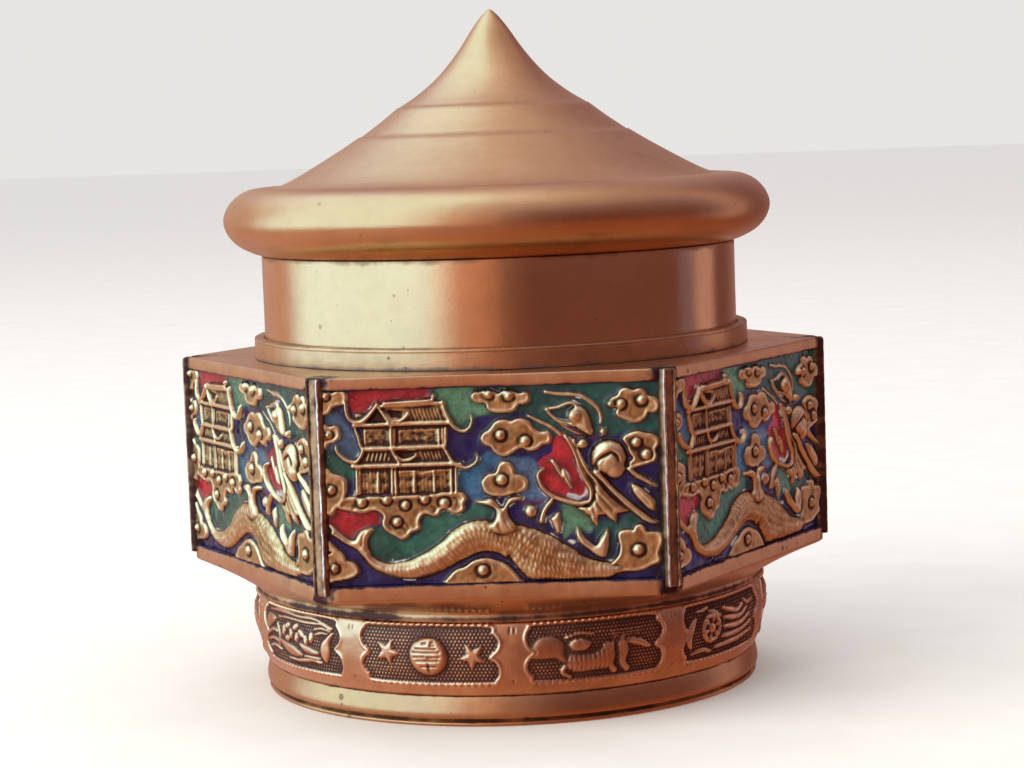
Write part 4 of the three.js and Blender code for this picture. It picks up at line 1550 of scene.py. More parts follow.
def drawPagoda(field):
    # upper roof: swoop to the gable, gable, ridge, tiles and eaves
    plate(
        field, [(-19.93, 47.98), (-18.19, 48.11), (-16.49, 49.44), (-14.79, 46.53), (-19.9, 46.51)], 0.45,
        0.3, steps=0,
    )
    plate(field, [(-15.94, 49.42), (-6.91, 49.56), (-5.95, 46.43), (-14.61, 46.52)], 0.7, 0.3, steps=0)
    ribs(field, [(-11.88, 48.5), (-7.23, 48.65), (-6.48, 46.91), (-11.41, 46.83)], 0.52, -0.32, 0.17)
    for hollowed in (
        [(-17.88, 46.9), (-16.57, 48.43), (-15.32, 46.91)],
        [(-15.25, 48.57), (-12.71, 48.3), (-13.11, 47.4), (-14.39, 47.44)],
    ):
        sinkInto(field, hollowed, 0.4)
    bar(
        field,
        [
            (-21.11, 49.68, 0.2), (-21.09, 48.57, 0.26), (-20.63, 47.36, 0.34), (-19.61, 46.83, 0.42),
            (-18.5, 47.16, 0.44), (-17.61, 48, 0.4), (-16.92, 48.84, 0.34), (-16.49, 49.49, 0.3),
        ],
        1.2,
    )
    bar(
        field,
        [(-16.49, 49.49, 0.26), (-15.99, 48.41, 0.22), (-15.38, 47.38, 0.22), (-14.75, 46.56, 0.24)],
        1.15,
    )
    bar(
        field,
        [
            (-15.81, 48.4, 0.18), (-15.2, 47.55, 0.22), (-14.5, 46.98, 0.24), (-13.5, 46.85, 0.24),
            (-12.67, 47.23, 0.22), (-11.96, 47.95, 0.16),
        ],
        1.15,
    )
    bar(field, [(-15.57, 49.54, 0.24), (-8.36, 49.79, 0.24)], 1.25, 0, 0.3)
    bar(field, [(-15.96, 49.11, 0.26), (-6.83, 49.37, 0.26)], 1.05, 0, 0.3)
    bar(field, [(-20.08, 46.42, 0.34), (-5.77, 46.39, 0.34)], 1.05, 0, 0.4)
    bar(
        field,
        [
            (-7, 49.63, 0.26), (-6.69, 48.3, 0.3), (-6.23, 47.18, 0.34), (-5.7, 46.09, 0.36),
            (-4.91, 45.36, 0.36), (-4.01, 45.11, 0.34), (-3.2, 45.61, 0.3), (-2.84, 46.42, 0.24),
            (-2.88, 47.16, 0.18),
        ],
        1.2,
    )
    ball(field, -8.28, 50.37, 0.4, 1.1, 0.05)
    # upper storey
    for room in (
        [(-18.79, 45.92), (-14.78, 45.94), (-14.91, 43.03), (-18.8, 43.12)],
        [(-14, 45.91), (-6.43, 45.89), (-6.56, 42.98), (-14.03, 43)],
    ):
        plate(field, room, 0.42, 0.2, steps=0)
        speckle(field, room, 0.09, 0.24)
    for path in (
        [
            (-18.44, 45.63, 0.13), (-15.1, 45.65, 0.13), (-15.15, 43.41, 0.13), (-18.43, 43.36, 0.13),
            (-18.44, 45.63, 0.13),
        ],
        [
            (-13.38, 45.34, 0.13), (-8.06, 45.43, 0.13), (-8.15, 43.37, 0.13), (-13.36, 43.35, 0.13),
            (-13.38, 45.34, 0.13),
        ],
    ):
        bar(field, path, 0.62, 0)
    for path in (
        [(-14.59, 46.06, 0.27), (-14.7, 42.84, 0.27)], [(-7.63, 45.56, 0.13), (-7.69, 43.08, 0.13)],
        [(-7.1, 45.58, 0.13), (-7.14, 43.11, 0.13)], [(-6.62, 45.71, 0.16), (-6.67, 43.04, 0.16)],
        [(-14.13, 45.86, 0.16), (-14.19, 42.82, 0.16)],
    ):
        bar(field, path, 0.9, 0)
    bar(
        field,
        [(-19.89, 45.95, 0.2), (-19.43, 44.65, 0.26), (-19.19, 43.53, 0.28), (-18.92, 42.88, 0.28)], 1.0,
    )
    bar(field, [(-18.87, 42.88, 0.3), (-6.83, 42.96, 0.3)], 1.05, 0, 0.3)
    # lower roof
    plate(field, [(-18.88, 42.6), (-6.84, 42.74), (-5.4, 40.33), (-19.97, 40.52)], 0.55, 0.3, steps=0)
    ribs(field, [(-18.43, 42.44), (-15.15, 42.45), (-14.85, 41), (-18.5, 40.97)], 0.62, 0.28, 0.2)
    ribs(field, [(-10.77, 42.49), (-6.94, 42.5), (-6.01, 40.9), (-10.3, 40.85)], 0.52, -0.32, 0.18)
    sinkInto(field, [(-13.88, 42.35), (-11.14, 42.36), (-11.35, 41.81), (-13.01, 41.46)], 0.4)
    bar(
        field,
        [
            (-22.8, 43.37, 0.18), (-22.62, 42.63, 0.26), (-21.92, 41.81, 0.34), (-20.95, 41.19, 0.36),
            (-19.95, 41.07, 0.36), (-19.34, 41.66, 0.34), (-18.94, 42.42, 0.28), (-18.81, 42.88, 0.26),
        ],
        1.2,
    )
    bar(field, [(-14.59, 42.74, 0.22), (-14.09, 41.62, 0.2), (-13.48, 40.62, 0.22)], 1.15)
    bar(
        field,
        [
            (-13.91, 41.62, 0.16), (-13.2, 41.13, 0.22), (-12.29, 41.14, 0.22), (-11.64, 41.36, 0.18),
            (-11.17, 41.77, 0.14),
        ],
        1.1,
    )
    bar(field, [(-20.49, 40.41, 0.34), (-4.67, 40.34, 0.34)], 1.05, 0, 0.4)
    bar(
        field,
        [
            (-6.9, 42.77, 0.24), (-6.46, 41.84, 0.3), (-5.92, 40.9, 0.34), (-5.04, 40.13, 0.36),
            (-3.96, 39.77, 0.36), (-2.95, 40.1, 0.32), (-2.24, 40.78, 0.26), (-2.25, 41.43, 0.18),
        ],
        1.2,
    )
    # lower storey
    for room in (
        [(-19.3, 40.04), (-14.98, 40.05), (-15.11, 36.18), (-19.39, 36.2)],
        [(-13.99, 39.77), (-6.15, 39.8), (-6.22, 36.15), (-14.06, 36.15)],
    ):
        plate(field, room, 0.42, 0.2, steps=0)
        ribs(field, room, 0.54, 0, 0.05)
        ribs(field, room, 1.5, 0, 0.03, sideways=True)
        speckle(field, room, 0.05, 0.35)
    for path in (
        [(-19.84, 40.33, 0.22), (-19.94, 36.28, 0.22)], [(-19.41, 40.13, 0.14), (-19.5, 36.26, 0.14)],
        [(-14.67, 40.07, 0.2), (-14.77, 36.11, 0.2)], [(-14.16, 40.02, 0.16), (-14.26, 36.1, 0.16)],
        [(-11.45, 39.42, 0.12), (-11.55, 36.29, 0.12)], [(-8.54, 39.42, 0.12), (-8.62, 36.29, 0.12)],
        [(-6, 39.83, 0.16), (-6.09, 36.11, 0.16)], [(-5.38, 39.92, 0.22), (-5.43, 36.13, 0.22)],
        [(-16.74, 39.4, 0.12), (-16.82, 36.36, 0.12)],
    ):
        bar(field, path, 0.85, 0)
    bar(
        field,
        [
            (-13.68, 39.4, 0.13), (-11.45, 39.45, 0.13), (-10.19, 39.01, 0.13), (-8.54, 39.42, 0.13),
            (-6.35, 39.44, 0.13),
        ],
        0.7, 0,
    )
    # cloud it stands on
    plate(
        field,
        [
            (-22.57, 35.35), (-21.63, 35.87), (-20.17, 35.92), (-14.34, 35.91), (-9.59, 36),
            (-5.21, 36.27), (-4.23, 35.78), (-3.94, 35.12), (-4.34, 34.4), (-4.26, 33.66), (-4.98, 33.04),
            (-5.9, 32.94), (-6.78, 33.52), (-7.7, 33.55), (-8.09, 32.86), (-9.01, 32.67), (-9.9, 33.06),
            (-10.61, 32.72), (-10.94, 31.84), (-10.79, 31.1), (-11.47, 30.57), (-12.21, 30.37),
            (-12.79, 29.65), (-13.71, 29.35), (-14.6, 29.9), (-15.49, 30.4), (-16.28, 31.09),
            (-16.51, 32.02), (-16.29, 32.94), (-16.81, 33.51), (-17.53, 33.8), (-18.82, 33.53),
            (-20.09, 33.57), (-21.72, 33.92), (-22.8, 34.21),
        ],
        0.78, 0.34, 0.18, 0.3, steps=3,
    )
    for x, y, radius in (
        (-19.3, 35.06, 0.74), (-15.64, 35.35, 0.7), (-12.91, 34.49, 0.68), (-10.08, 35.26, 0.68),
        (-7.23, 34.64, 0.78), (-14.23, 32.04, 0.68),
    ):
        ball(field, x, y, radius, 1.15, 0.16)
    for path in (
        [(-14.55, 30.95), (-13.81, 31.2), (-13.1, 30.81), (-12.77, 30.06)],
        [(-13.41, 32.11), (-12.7, 31.53), (-12.65, 30.79)],
        [(-15.23, 32.16), (-15.44, 31.43), (-15.1, 30.87)],
        [(-20.59, 34.73), (-20.43, 34.27), (-20.81, 33.91)],
        [(-5.79, 35.37), (-5.26, 34.98), (-5.48, 34.07)], [(-9.13, 34.18), (-8.59, 33.89), (-8.8, 33.25)],
    ):
        groove(field, path, 0.11, 0.14)


def drawClouds(field):
    for cloud in pictureClouds:
        plate(field, cloud["outline"], 0.74, 0.32, 0.12, 0.24, steps=3, grow=0.16)
        for x, y, radius in cloud["bosses"]:
            ball(field, x, y, radius, 1.15)
            hook = [
                (
                    x + (radius + 0.42) * math.cos(math.radians(t)),
                    y + (radius + 0.42) * math.sin(math.radians(t)),
                )
                for t in range(150, 400, 40)
            ]
            groove(field, hook, 0.1, 0.1)


def drawDragon(field):
    body = dragonBody
    loop = curveThrough(body["upper"], 4).tolist() + curveThrough(body["lower"], 4)[::-1].tolist()
    loop = np.array(loop)
    cut = windowRound(field, loop)
    u, v = field["u"][cut], field["v"][cut]
    inside = edgeDistance(u, v, loop)
    lift(field, cut, inside, 1.25, 2.5)
    # rows of short upright scales, laid like bricks
    _, along, side, _ = alongPath(u, v, curveThrough(body["spine"], 6))
    row = np.floor(side / 1.12 + 0.35)
    ahead = (along + 0.35 * side) / 0.62 + 0.5 * (row % 2) + 0.25 * softNoise(u, v, 1.6, 51)
    across = side / 1.12 + 0.35 - row
    bump = 1 - np.abs(2 * (ahead - np.floor(ahead)) - 1) ** 1.6
    bump *= 1 - np.abs(2 * across - 1) ** 5
    bump *= 0.75 + 0.45 * softNoise(u, v, 0.8, 52)
    scaly = smooth((u + 17.0) / 1.6) * smooth(inside / 0.3) * smooth((18.6 - u) / 1.2)
    field["height"][cut] += (0.19 * bump - 0.12) * scaly
    # two flukes of the tail
    plate(
        field,
        [
            (-24.21, 31.86), (-23.29, 31.17), (-22.33, 30.33), (-21.27, 29.59), (-20.59, 29.72),
            (-20.23, 30.39), (-19.51, 31.01), (-18.37, 31.23), (-17.8, 30.99), (-18.2, 30.2),
            (-18.56, 29.32), (-18.53, 28.36), (-18.17, 27.47), (-18.76, 26.38), (-19.64, 27.11),
            (-20.48, 28.06), (-21.75, 28.83), (-23.35, 29.95), (-24.34, 30.54), (-23.95, 31.15),
        ],
        1.0, 0.9, steps=3,
    )
    groove(field, [(-23.5, 30.68), (-22.08, 29.71), (-20.84, 28.93), (-19.96, 28.26)], 0.13, 0.16)
    groove(field, [(-18.94, 30.77), (-19.43, 29.9), (-19.53, 28.8)], 0.13, 0.16)
    # forked fin
    plate(
        field,
        [
            (-2.61, 34.68), (-1.52, 35.01), (-0.51, 35.2), (0.2, 34.81), (0.71, 34.05), (1.1, 33.82),
            (1.48, 34.12), (2.03, 35.08), (3.14, 35.36), (4.22, 35.14), (3.84, 34.69), (2.73, 34.36),
            (2.07, 33.79), (2.09, 32.9), (2.36, 32.16), (3.14, 31.03), (2.73, 30.03), (1.07, 29.62),
            (-0.19, 29.99), (-0.74, 30.69), (-0.79, 31.37), (-0.1, 32.05), (0.12, 32.97), (-0.07, 33.62),
            (-0.57, 33.87), (-1.47, 34.2),
        ],
        1.4, 0.8, steps=3,
    )
    for path in (
        [(0.58, 33.14), (0.59, 31.29), (0.91, 30.18)], [(1.39, 32.93), (1.7, 31.63), (2.21, 30.69)],
        [(-1.63, 34.64), (-0.54, 34.61), (0.17, 34.07)], [(3.12, 34.9), (2.19, 34.56), (1.71, 34.02)],
    ):
        groove(field, path, 0.1, 0.14)


def drawHead(field):
    # beard between jaw and tendril, with fine combed lines and ragged tips
    beard = [
        (14.38, 38.31), (15.39, 37.39), (16.14, 36), (17.22, 34.83), (18.47, 33.79), (19.95, 32.61),
        (18.91, 32.43), (17.98, 32.25), (17.75, 31.01), (16.83, 31.42), (16.06, 32.12), (15.26, 32.11),
        (14.8, 30.62), (14.23, 31.04), (13.82, 31.99), (13.01, 32.7), (11.84, 33.41), (13.84, 33.64),
        (14.51, 34.59), (14.64, 36.2),
    ]
    plate(field, beard, 0.9, 0.7, steps=0)
    ribs(field, beard, 0.42, 0.95, 0.12)
    for path in (
        [(14.82, 36.85), (16.12, 35.19), (17.98, 33.51), (19.23, 32.67)],
        [(14.86, 35.71), (15.78, 34.55), (17.32, 32.73)],
        [(14.74, 34.58), (15.42, 33.27), (16.34, 32.11)], [(14.32, 33.79), (14.6, 32.49), (14.63, 31.03)],
        [(13.51, 33.33), (14.11, 32.02)],
    ):
        groove(field, path, 0.1, 0.2)
    # leaf and tendrils behind the cheek
    plate(
        field,
        [
            (19.95, 36.56), (21.09, 36.33), (22.22, 35.45), (23.42, 34.12), (23.42, 32.67),
            (22.59, 32.66), (21.34, 33.86), (20.42, 35.02),
        ],
        0.85, 0.6, steps=3,
    )
    groove(field, [(20.45, 36.02), (21.69, 34.69), (23.07, 33.03)], 0.11, 0.16)
    bar(
        field,
        [
            (19.73, 38.88, 0.42), (20.59, 38.09, 0.46), (21.64, 37.41, 0.44), (22.7, 36.76, 0.36),
            (23.74, 36.21, 0.16),
        ],
        1.05,
    )
    bar(field, [(19.9, 38.98, 0.2), (21.66, 39.42, 0.22), (23.51, 39.94, 0.2)], 0.9)
    bar(
        field,
        [
            (14.95, 38.62, 0.6), (16, 37.46, 0.55), (16.95, 36.26, 0.5), (18.22, 34.93, 0.5),
            (19.61, 33.59, 0.52), (21.17, 32.25, 0.56), (22.54, 31.24, 0.5), (23.53, 30.89, 0.22),
        ],
        1.3,
    )
    # double lip: bright ridge, dark strip and thin ridge; then the lower jaw
    bar(
        field,
        [
            (11.29, 43.59, 0.3), (12.04, 42.11, 0.34), (12.61, 40.31, 0.36), (13.43, 38.34, 0.36),
            (14.41, 36.7, 0.34), (14.45, 35.4, 0.3),
        ],
        0.62, flat=0.5,
    )
    bar(
        field,
        [
            (11.89, 43.41, 0.14), (12.58, 41.69, 0.16), (13.24, 39.97, 0.16), (14.02, 38.41, 0.16),
            (14.9, 37.17, 0.16),
        ],
        0.95,
    )
    bar(
        field,
        [
            (10.63, 43.96, 0.16), (11.49, 42.45, 0.22), (12.15, 40.81, 0.24), (12.61, 39.18, 0.24),
            (13.32, 37.54, 0.24), (14, 36.35, 0.26), (14.21, 35.33, 0.28), (13.99, 34.45, 0.28),
            (13.57, 34.1, 0.24),
        ],
        1.15,
    )
    bar(
        field,
        [
            (13.78, 34.21, 0.3), (12.57, 33.97, 0.38), (11.3, 34.17, 0.38), (10.04, 34.54, 0.38),
            (8.39, 35.27, 0.38), (7.2, 36.35, 0.36), (6.6, 37.67, 0.32), (6.61, 38.64, 0.26),
            (7.29, 39.15, 0.16),
        ],
        1.15,
    )
    bar(field, [(8.67, 40.3, 0.13), (9.24, 39.44, 0.18), (9.69, 38.54, 0.18), (10.15, 37.88, 0.16)], 0.8)
    bar(field, [(10.15, 38.85, 0.14), (10.55, 37.95, 0.34), (10.89, 37.13, 0.34), (11.29, 36.31, 0.12)], 0.75)
    # cheek with its brow fold
    x, y = 16.89, 40.53
    cut = windowRound(field, [(x, y)], reach=3.4)
    near = np.hypot(field["u"][cut] - x, field["v"][cut] - y)
    lift(field, cut, 2.72 - near, 1.52, 1.9)
    groove(
        field,
        [
            (15.06, 39.02), (14.99, 39.91), (15.81, 40.7), (16.7, 41.15), (17.34, 41.42), (17.97, 40.95),
            (18.34, 40.13),
        ],
        0.24, 0.5,
    )
    groove(field, [(14.49, 39.12), (14.4, 40.42), (15.04, 41.69), (16.18, 42.46)], 0.12, 0.12)
    ball(field, 17.64, 39.1, 1.75, 1.5, 0.1)
    for i in range(9):  # dimples along the brow
        a = math.radians(200 - 14 * i)
        groove(
            field,
            [
                (x + 2.25 * math.cos(a), y + 2.25 * math.sin(a)),
                (x + 2.4 * math.cos(a + 0.05), y + 2.4 * math.sin(a + 0.05)),
            ],
            0.12, 0.16, 0,
        )
    ball(field, 13.17, 42.72, 0.78, 1.2, 0.2)
    ball(field, 16.16, 44.44, 0.6, 1.15, 0.1)
    # snout: leaf with a dark middle, bright curl and thick neck
    plate(
        field,
        [
            (12.43, 48.4), (13.5, 48.04), (14.22, 46.89), (14.68, 45.26), (14.77, 44.09), (14.16, 43.88),
            (13.38, 44.33), (12.6, 44.74), (11.98, 45.31), (11.48, 45.65), (11.33, 46.82), (11.74, 47.86),
        ],
        1.05, 1.0, steps=3,
    )
    bar(
        field,
        [
            (7.98, 47.93, 0.12), (9.69, 48.13, 0.17), (10.81, 48.58, 0.2), (11.77, 48.71, 0.22),
            (12.47, 48.32, 0.22),
        ],
        0.9,
    )
    bar(
        field,
        [
            (7.98, 47.93, 0.12), (8.85, 46.9, 0.17), (9.94, 46.05, 0.2), (11.2, 45.76, 0.2),
            (11.98, 45.34, 0.2),
        ],
        0.85,
    )
    ball(field, 12.22, 46.87, 1.12, 1.45, 0.06)
    groove(field, [(12.13, 47.63), (12.76, 47.42), (13.01, 46.77), (12.65, 46.26), (12.2, 46.39)], 0.13, 0.3)
    bar(field, [(9.93, 45.73, 0.1), (11.02, 45.05, 0.13), (12.11, 44.45, 0.14), (13.84, 43.7, 0.13)], 0.5)
    # whiskers
    bar(
        field,
        [
            (7.94, 50.43, 0.1), (9.6, 50.11, 0.14), (11.49, 49.97, 0.16), (13.07, 49.68, 0.17),
            (14.47, 48.82, 0.17), (15.55, 47.66, 0.16), (15.92, 46.51, 0.15), (15.83, 45.55, 0.1),
        ],
        0.42,
    )
    bar(
        field,
        [
            (5.37, 47, 0.08), (7.24, 46.01, 0.12), (8.33, 45.46, 0.14), (9.26, 44.78, 0.14),
            (10.06, 44.08, 0.12),
        ],
        0.42,
    )
    # limb, rosette and leaves under the jaw
    bar(field, [(8.41, 34.54, 0.34), (7.65, 33.67, 0.4), (7.11, 32.72, 0.42), (6.79, 31.51, 0.46)], 0.95)
    ball(field, 5.28, 32.94, 0.95, 0.75, 0.1)
    plate(
        field, [(8.07, 31.94), (9.42, 32.68), (9.77, 31.18), (9.6, 29.89), (9.15, 29.39), (8.63, 30.57)],
        0.75, 0.5, steps=0,
    )
    plate(
        field,
        [
            (11.85, 30.34), (12.29, 30.16), (13.06, 29.14), (13.99, 28.27), (14.62, 27.93),
            (15.16, 28.88), (15.95, 29.7), (16.38, 30.04), (16.66, 29.03), (16.55, 27.41), (16.19, 26.13),
            (15.51, 25.86), (14.41, 26.32), (13.47, 27.15), (12.38, 27.99), (11.75, 29.18),
        ],
        1.2, 0.8, steps=3,
    )
    groove(field, [(14.61, 27.8), (15.28, 28.75), (16.03, 29.53)], 0.12, 0.16, 0)
    groove(field, [(12.27, 29.65), (13.35, 28.16), (14.58, 26.83)], 0.12, 0.14, 0)


def panelField():
    shape = panelShape
    cols = int(round(2 * shape["half"] / shape["step"])) + 1
    rows = int(round((shape["top"] - shape["foot"]) / shape["step"])) + 1
    u, v = np.meshgrid(
        np.linspace(-shape["half"], shape["half"], cols), np.linspace(shape["foot"], shape["top"], rows)
    )
    field = newField(u, v)
    drawClouds(field)
    drawDragon(field)
    drawHead(field)
    drawPagoda(field)
    relief, gap = field["height"], field["gap"]
    # cast surface, then the enamel that fills the ground and climbs a little where it meets the brass
    cast = relief + 0.035 * softNoise(u, v, 0.6, 31) + 0.06 * softNoise(u, v, 2.2, 32)
    climb = 0.14 + 0.12 * softNoise(u, v, 0.9, 35)
    glass = (
        climb * np.exp(-np.clip(gap, 0, None) / 0.35)
        + 0.06 * softNoise(u, v, 1.3, 33)
        + 0.09 * softNoise(u, v, 4, 34)
        + 0.02 * softNoise(u, v, 0.45, 36)
    )
    metalShare = smooth((0.12 - gap) / 0.24)
    height = np.where(gap < 0, np.maximum(cast, glass + 0.04), glass)
    height = np.minimum(height * metalShare + glass * (1 - metalShare), 1.56)
    for axis in (0, 1):
        height = (np.roll(height, 1, axis) + 2 * height + np.roll(height, -1, axis)) / 4
    field["shown"] = height

    tint = np.zeros((*u.shape, 3)) + np.array(enamels["navy"])
    for colour, loop, ends in enamelFields:
        loop = curveThrough(loop, 4, closed=True)
        away = edgeDistance(u, v, loop) + 0.3 * softNoise(u, v, 1.3, 41)
        share = smooth(0.5 + away / (2 * ends))[..., None]
        tint = tint * (1 - share) + np.array(enamels[colour]) * share
    tint *= (
        0.92
        + 0.22 * softNoise(u, v, 3, 42)
        + 0.2 * softNoise(u, v, 0.9, 43)
        + 0.12 * softNoise(u, v, 0.4, 44)
    )[..., None]
    field["tint"] = np.clip(tint, 0, 1)
    # darker in hollows, partly patina and partly painted shade; brighter on raised edges, partly wear and
    # partly painted highlight
    hollow = blurred(height, 2) - height
    wide = blurred(height, 6) - height
    field["hollow"] = np.clip(0.5 + 2.2 * hollow + 0.55 * wide, 0, 1)
    return field


field = panelField()
rows, cols = field["u"].shape
edgeLoop = [j for j in range(cols)] + [i * cols + cols - 1 for i in range(1, rows)]
edgeLoop += (
    [(rows - 1) * cols + j for j in range(cols - 2, -1, -1)]
    + [i * cols for i in range(rows - 2, 0, -1)]
)
frontFaces = gridFaces(rows, cols)
for i in range(sides):
    turn = math.radians(60 * i)
    depth = panelShape["face"] + field["shown"]
    front = np.stack([field["u"], -depth, field["v"]], axis=-1).reshape(-1, 3)
    back = front[edgeLoop].copy()
    back[:, 1] = -panelShape["back"]
    points = np.concatenate([front, back])
    points = points @ np.array(
        [[math.cos(turn), math.sin(turn), 0], [-math.sin(turn), math.cos(turn), 0], [0, 0, 1]]
    )
    start, count = rows * cols, len(edgeLoop)
    faces = list(frontFaces)
    faces += [
        [edgeLoop[j], start + j, start + (j + 1) % count, edgeLoop[(j + 1) % count]]
        for j in range(count)
    ]
    faces.append(list(range(start, start + count))[::-1])
    piece = pieceOf(
        f"panel_enamelled_{i + 1}", points, faces, panelSurface, [f"panel_{i + 1}"],
        sharp=0,
    )
    pad = np.zeros(count)
    storeOn(piece, "gap", np.concatenate([np.clip(field["gap"], -1, 1).ravel(), pad - 0.5]))
    storeOn(piece, "hollow", np.concatenate([field["hollow"].ravel(), pad + 0.6]))
    tint = field["tint"].reshape(-1, 3)
    tint = np.concatenate(
        [
            np.concatenate([tint, np.ones((len(tint), 1))], axis=1),
            np.tile([0.1, 0.05, 0.05, 1.0], (count, 1)),
        ]
    )
    storeOn(piece, "tint", tint)
print("panels ready")

# Floor, light and camera


def floorMaterial():
    made, tree = newMaterial("pale floor")
    place = node(tree, "ShaderNodeTexCoord").outputs["Object"]
    grain = noiseNode(tree, place, 60, 4, 0.6)
    colour = mixTint(tree, rangeNode(tree, grain, 0.3, 0.7), (0.78, 0.75, 0.71, 1), (0.82, 0.79, 0.75, 1))
    shader = node(tree, "ShaderNodeBsdfPrincipled", {"Base Color": colour, "Roughness": 0.7})
    tree.links.new(shader.outputs[0], node(tree, "ShaderNodeOutputMaterial").inputs[0])
    return made


floorMesh = bpy.data.meshes.new("floor")
floorMesh.from_pydata([(-6, -6, 0), (6, -6, 0), (6, 6, 0), (-6, 6, 0)], [], [[0, 1, 2, 3]])
floorMesh.materials.append(floorMaterial())
floor = bpy.data.objects.new("floor", floorMesh)
bpy.context.scene.collection.objects.link(floor)
floor.visible_glossy = False  # the brass mirrors the room below, not this plain floor

studio = {
    "window": {"at": (-0.75, -0.5, 0.55), "size": (0.9, 0.7), "watts": 9.0, "colour": (1.0, 0.95, 0.88)},
    "overhead": {"at": (-0.1, 0.2, 1.1), "size": (1.4, 1.4), "watts": 3.5, "colour": (0.97, 0.98, 1.0)},
}
for name, lamp in studio.items():
    data = bpy.data.lights.new(name, "AREA")
    data.shape = "RECTANGLE"
    data.size, data.size_y = lamp["size"]
    data.energy = lamp["watts"]
    data.color = lamp["colour"]
    light = bpy.data.objects.new(name, data)
    light.location = lamp["at"]
    light.rotation_euler = (Vector((0, 0, 0.05)) - light.location).to_track_quat("-Z", "Y").to_euler()
    light.visible_glossy = False
    bpy.context.scene.collection.objects.link(light)

# what the brass mirrors: a dim warm room, a wide pale window on the left and a narrow strip on the right;
# bearings are degrees round the axis, the other limits are heights from -1 (straight down) to 1 (straight up)
room = {
    "right": [
        (-0.9, (0.40, 0.16, 0.10)), (-0.45, (0.32, 0.11, 0.075)), (-0.12, (0.20, 0.085, 0.08)),
        (0.3, (0.22, 0.11, 0.13)), (0.62, (0.30, 0.20, 0.28)), (0.9, (0.60, 0.50, 0.58)),
        (1.0, (0.95, 0.9, 1.1)),
    ],
    "left": [
        (-0.9, (0.60, 0.30, 0.22)), (-0.55, (0.70, 0.45, 0.44)), (-0.12, (0.66, 0.40, 0.34)),
        (0.35, (0.72, 0.52, 0.50)), (0.75, (0.80, 0.64, 0.66)), (1.0, (1.0, 0.98, 1.2)),
    ],
    "leftBearing": -100,
    "window": {
        "bearing": -69, "half": 42, "soft": 13, "from": -0.22, "to": 1.3, "softUp": 0.14,
        "colour": (1.18, 1.80, 2.45),
    },
    "upper": {
        "bearing": -112, "half": 42, "soft": 22, "from": 0.55, "to": 1.3, "softUp": 0.2,
        "colour": (1.18, 1.70, 2.35),
    },
    "warmEdge": {
        "bearing": -14, "half": 12, "soft": 9, "from": -0.3, "to": 0.8, "softUp": 0.2,
        "colour": (0.34, 0.17, 0.12),
    },
    "strip": {
        "bearing": 119, "half": 8, "soft": 4, "from": -0.35, "to": 0.75, "softUp": 0.1,
        "colour": (0.62, 0.42, 0.46),
    },
    "cool": {
        "bearing": 104, "half": 5, "soft": 3, "from": -0.35, "to": 0.75, "softUp": 0.1,
        "colour": (0.05, 0.10, 0.24),
    },
    "added": ("cool", "warmEdge"),
}
world = bpy.data.worlds.new("studio")
world.use_nodes = True
tree = world.node_tree
tree.nodes.clear()
direction = node(tree, "ShaderNodeTexCoord").outputs["Generated"]
parts = node(tree, "ShaderNodeSeparateXYZ", {0: direction})
upward = parts.outputs[2]
flat = node(tree, "ShaderNodeCombineXYZ", {0: parts.outputs[0], 1: parts.outputs[1]}).outputs[0]
level = node(tree, "ShaderNodeVectorMath", {0: flat}, operation="NORMALIZE").outputs[0]


def facingNode(bearing):
    # 1 towards a bearing, -1 away from it
    angle = math.radians(bearing)
    towards = (math.sin(angle), -math.cos(angle), 0)
    return node(
        tree, "ShaderNodeVectorMath", {0: level, 1: towards}, operation="DOT_PRODUCT"
    ).outputs["Value"]


def glow(spec):
    facing = facingNode(spec["bearing"])
    wide = math.cos(math.radians(spec["half"] + spec["soft"]))
    narrow = math.cos(math.radians(max(spec["half"] - spec["soft"], 0)))
    share = node(
        tree, "ShaderNodeMapRange", {0: facing, 1: wide, 2: narrow}, interpolation_type="SMOOTHSTEP"
    ).outputs[0]
    for edge, sign in ((spec["from"], 1), (spec["to"], -1)):
        ends = node(
            tree, "ShaderNodeMapRange",
            {0: upward, 1: edge - sign * spec["softUp"], 2: edge + sign * spec["softUp"]},
            interpolation_type="SMOOTHSTEP",
        ).outputs[0]
        share = mathNode(tree, "MULTIPLY", share, ends)
    return share


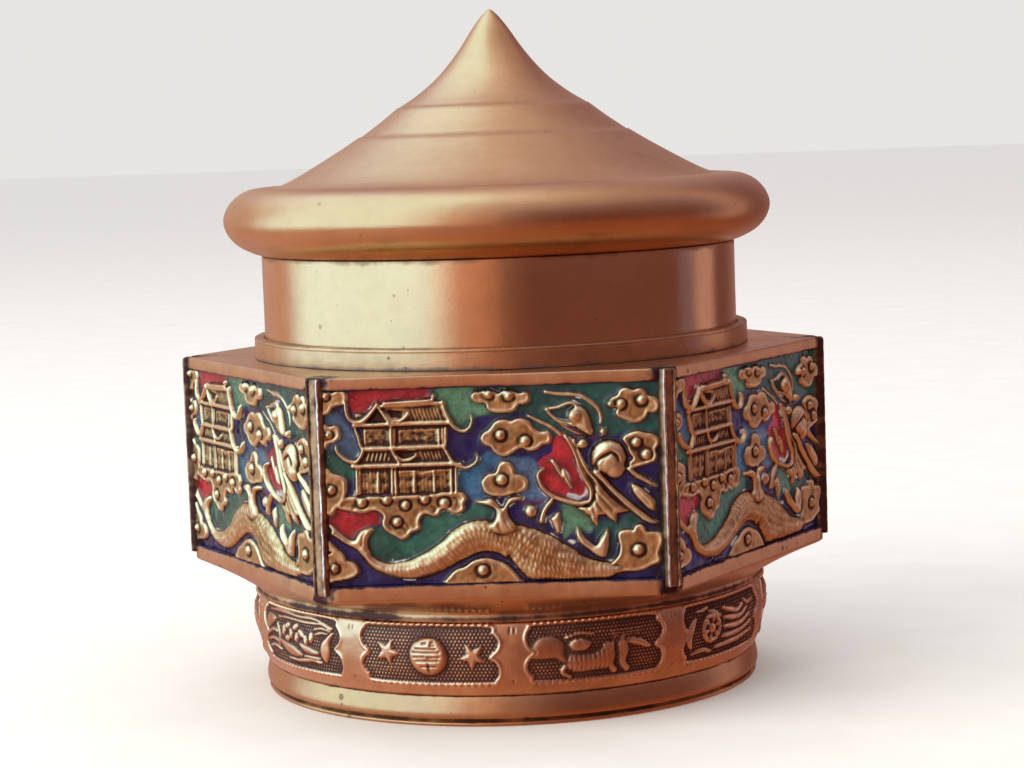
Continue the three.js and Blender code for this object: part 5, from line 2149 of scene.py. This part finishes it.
def byHeight(stops):
    ramp = node(tree, "ShaderNodeValToRGB", {0: rangeNode(tree, upward, -1.0, 1.0)})
    band = ramp.color_ramp
    while len(band.elements) < len(stops):
        band.elements.new(0.5)
    for element, (height, colour) in zip(band.elements, stops):
        element.position = 0.5 + 0.5 * height
        element.color = (*colour, 1)
    return ramp.outputs[0]


leftward = facingNode(room["leftBearing"])
lit = mixTint(tree, rangeNode(tree, leftward, -0.45, 0.75), byHeight(room["right"]), byHeight(room["left"]))
for name in ("upper", "window", "strip", "cool", "warmEdge"):
    lit = mixTint(
        tree, glow(room[name]), lit, (*room[name]["colour"], 1),
        "ADD" if name in room["added"] else "MIX",
    )
backdrop = node(tree, "ShaderNodeBackground", {0: (0.80, 0.785, 0.765, 1), 1: 1.0})
mirrored = node(tree, "ShaderNodeBackground", {0: lit, 1: 1.0})
soft = node(tree, "ShaderNodeBackground", {0: (1.0, 1.0, 1.0, 1), 1: 0.95})
path = node(tree, "ShaderNodeLightPath")
first = node(
    tree, "ShaderNodeMixShader",
    {0: path.outputs["Is Glossy Ray"], 1: soft.outputs[0], 2: mirrored.outputs[0]},
)
mixed = node(
    tree, "ShaderNodeMixShader",
    {0: path.outputs["Is Camera Ray"], 1: first.outputs[0], 2: backdrop.outputs[0]},
)
tree.links.new(mixed.outputs[0], node(tree, "ShaderNodeOutputWorld").inputs[0])
bpy.context.scene.world = world
if hasattr(world, "cycles"):
    world.cycles.sampling_method = "NONE"

view = {
    "at": (0.0173317, -0.4081485, 0.0888731),
    "right": (0.99874911, 0.0351184, -0.03559372),
    "forward": (-0.0385734, 0.99408228, -0.10155052),
    "lens": 88.69,
}
right, forward = Vector(view["right"]).normalized(), Vector(view["forward"]).normalized()
up = right.cross(forward).normalized()
cameraData = bpy.data.cameras.new("camera")
cameraData.lens = view["lens"]
cameraData.sensor_width = 36
cameraData.clip_start = 0.01
camera = bpy.data.objects.new("camera", cameraData)
camera.matrix_world = Matrix.Translation(view["at"]) @ Matrix((right, up, -forward)).transposed().to_4x4()
bpy.context.scene.collection.objects.link(camera)
bpy.context.scene.camera = camera
bpy.context.scene.view_settings.view_transform = "Standard"
print("stage ready")

bpy.context.view_layer.update()
